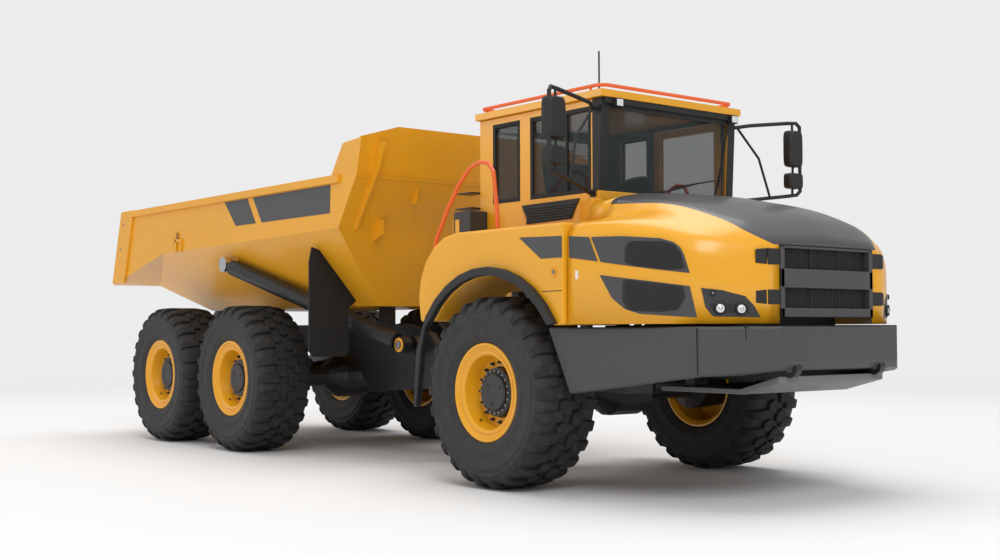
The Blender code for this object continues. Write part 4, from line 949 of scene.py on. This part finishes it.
def make_chassis_details():
    shape = Shape("tail_lamps")
    for sign in (1, -1):
        for y, colour in ((0.54, LAMP_RED), (0.64, LAMP_CLEAR)):
            shape.box((-6.799, sign * y - 0.042, 1.168), (-6.785, sign * y + 0.042, 1.232), colour)
    shape.finish("rear_chassis", bevel=0.004, segments=2)
    for name, sign in SIDES.items():
        caps = Shape(f"hoist_{name}_foot_cap")
        foot = Vector((-2.33, sign * 0.7305, 1.135))
        out = Vector((0, sign, 0))
        caps.lathe([(0.070, 0), (0.070, 0.010), (0.052, 0.014), (0.050, 0.006)], foot, out, YELLOW,
                   28)
        caps.lathe([(0.040, 0.004), (0.040, 0.022), (0.030, 0.028), (0, 0.028)], foot, out,
                   DULL_STEEL, 24)
        caps.finish(f"{name}_hoist_barrel", bevel=0.0015, segments=1)


make_fender_details()
make_bumper_details()
make_cab_details()
make_mirrors()
make_rear_of_cab_details()
make_bed_details()
make_chassis_details()


# ---------------------------------------------------------------- stage, light, camera
BACKDROP = 0.84


def make_stage():
    floor = bpy.data.meshes.new("floor")
    floor.from_pydata([(-60, -60, 0), (60, -60, 0), (60, 60, 0), (-60, 60, 0)], [], [(0, 1, 2, 3)])
    piece = bpy.data.objects.new("floor", floor)
    bpy.context.scene.collection.objects.link(piece)
    material = bpy.data.materials.new("studio_floor")
    material.use_nodes = True
    nodes, links = material.node_tree.nodes, material.node_tree.links
    shader = nodes["Principled BSDF"]
    shader.inputs["Base Color"].default_value = (0.80, 0.80, 0.80, 1)
    shader.inputs["Roughness"].default_value = 0.75
    far = nodes.new("ShaderNodeEmission")
    far.inputs["Color"].default_value = (1, 1, 1, 1)
    far.inputs["Strength"].default_value = BACKDROP
    place = nodes.new("ShaderNodeTexCoord")
    distance = nodes.new("ShaderNodeVectorMath")
    distance.operation = "LENGTH"
    links.new(place.outputs["Object"], distance.inputs[0])
    fade = nodes.new("ShaderNodeMapRange")
    fade.interpolation_type = "SMOOTHSTEP"
    fade.inputs["From Min"].default_value = 9.0
    fade.inputs["From Max"].default_value = 26.0
    links.new(distance.outputs["Value"], fade.inputs["Value"])
    mix = nodes.new("ShaderNodeMixShader")
    links.new(fade.outputs["Result"], mix.inputs["Fac"])
    links.new(shader.outputs["BSDF"], mix.inputs[1])
    links.new(far.outputs["Emission"], mix.inputs[2])
    links.new(mix.outputs["Shader"], nodes["Material Output"].inputs["Surface"])
    floor.materials.append(material)

    world = bpy.data.worlds.new("studio")
    bpy.context.scene.world = world
    world.use_nodes = True
    nodes, links = world.node_tree.nodes, world.node_tree.links
    back = nodes["Background"]
    back.inputs["Color"].default_value = (1, 1, 1, 1)
    rays = nodes.new("ShaderNodeLightPath")
    camera_or_gloss = nodes.new("ShaderNodeMath")
    camera_or_gloss.operation = "MAXIMUM"
    links.new(rays.outputs["Is Camera Ray"], camera_or_gloss.inputs[0])
    links.new(rays.outputs["Is Transmission Ray"], camera_or_gloss.inputs[1])
    level = nodes.new("ShaderNodeMapRange")
    level.inputs["To Min"].default_value = 0.55
    level.inputs["To Max"].default_value = BACKDROP
    links.new(camera_or_gloss.outputs["Value"], level.inputs["Value"])
    links.new(level.outputs["Result"], back.inputs["Strength"])


def add_lamp(name, place, target, size, power):
    light = bpy.data.lights.new(name, "AREA")
    light.shape = "RECTANGLE"
    light.size, light.size_y = size
    light.energy = power
    lamp = bpy.data.objects.new(name, light)
    bpy.context.scene.collection.objects.link(lamp)
    lamp.location = place
    lamp.rotation_euler = (Vector(target) - Vector(place)).to_track_quat("-Z", "Y").to_euler()


def make_camera():
    data = bpy.data.cameras.new("camera")
    data.lens = 47.12
    data.sensor_width = 36
    camera = bpy.data.objects.new("camera", data)
    bpy.context.scene.collection.objects.link(camera)
    yaw, pitch, roll = 2.462999, 0.0394318, -0.0030174
    forward = Vector((math.cos(pitch) * math.cos(yaw), math.cos(pitch) * math.sin(yaw),
                      math.sin(pitch)))
    right = forward.cross(Vector((0, 0, 1))).normalized()
    up = right.cross(forward)
    turned_right = right * math.cos(roll) + up * math.sin(roll)
    turned_up = up * math.cos(roll) - right * math.sin(roll)
    basis = Matrix((turned_right, turned_up, -forward)).transposed().to_4x4()
    camera.matrix_world = Matrix.Translation((8.2692 + FRONT_X, -8.0077, 1.2711)) @ basis
    bpy.context.scene.camera = camera


make_stage()
add_lamp("key", (26, -13, 24), (0, 0, 1), (14, 14), 4200)
add_lamp("top", (-4, 4, 34), (0, 0, 0), (30, 24), 7000)
add_lamp("fill", (-22, -24, 14), (-1, 0, 1), (16, 12), 1500)
make_camera()
bpy.context.scene.view_settings.view_transform = "Standard"
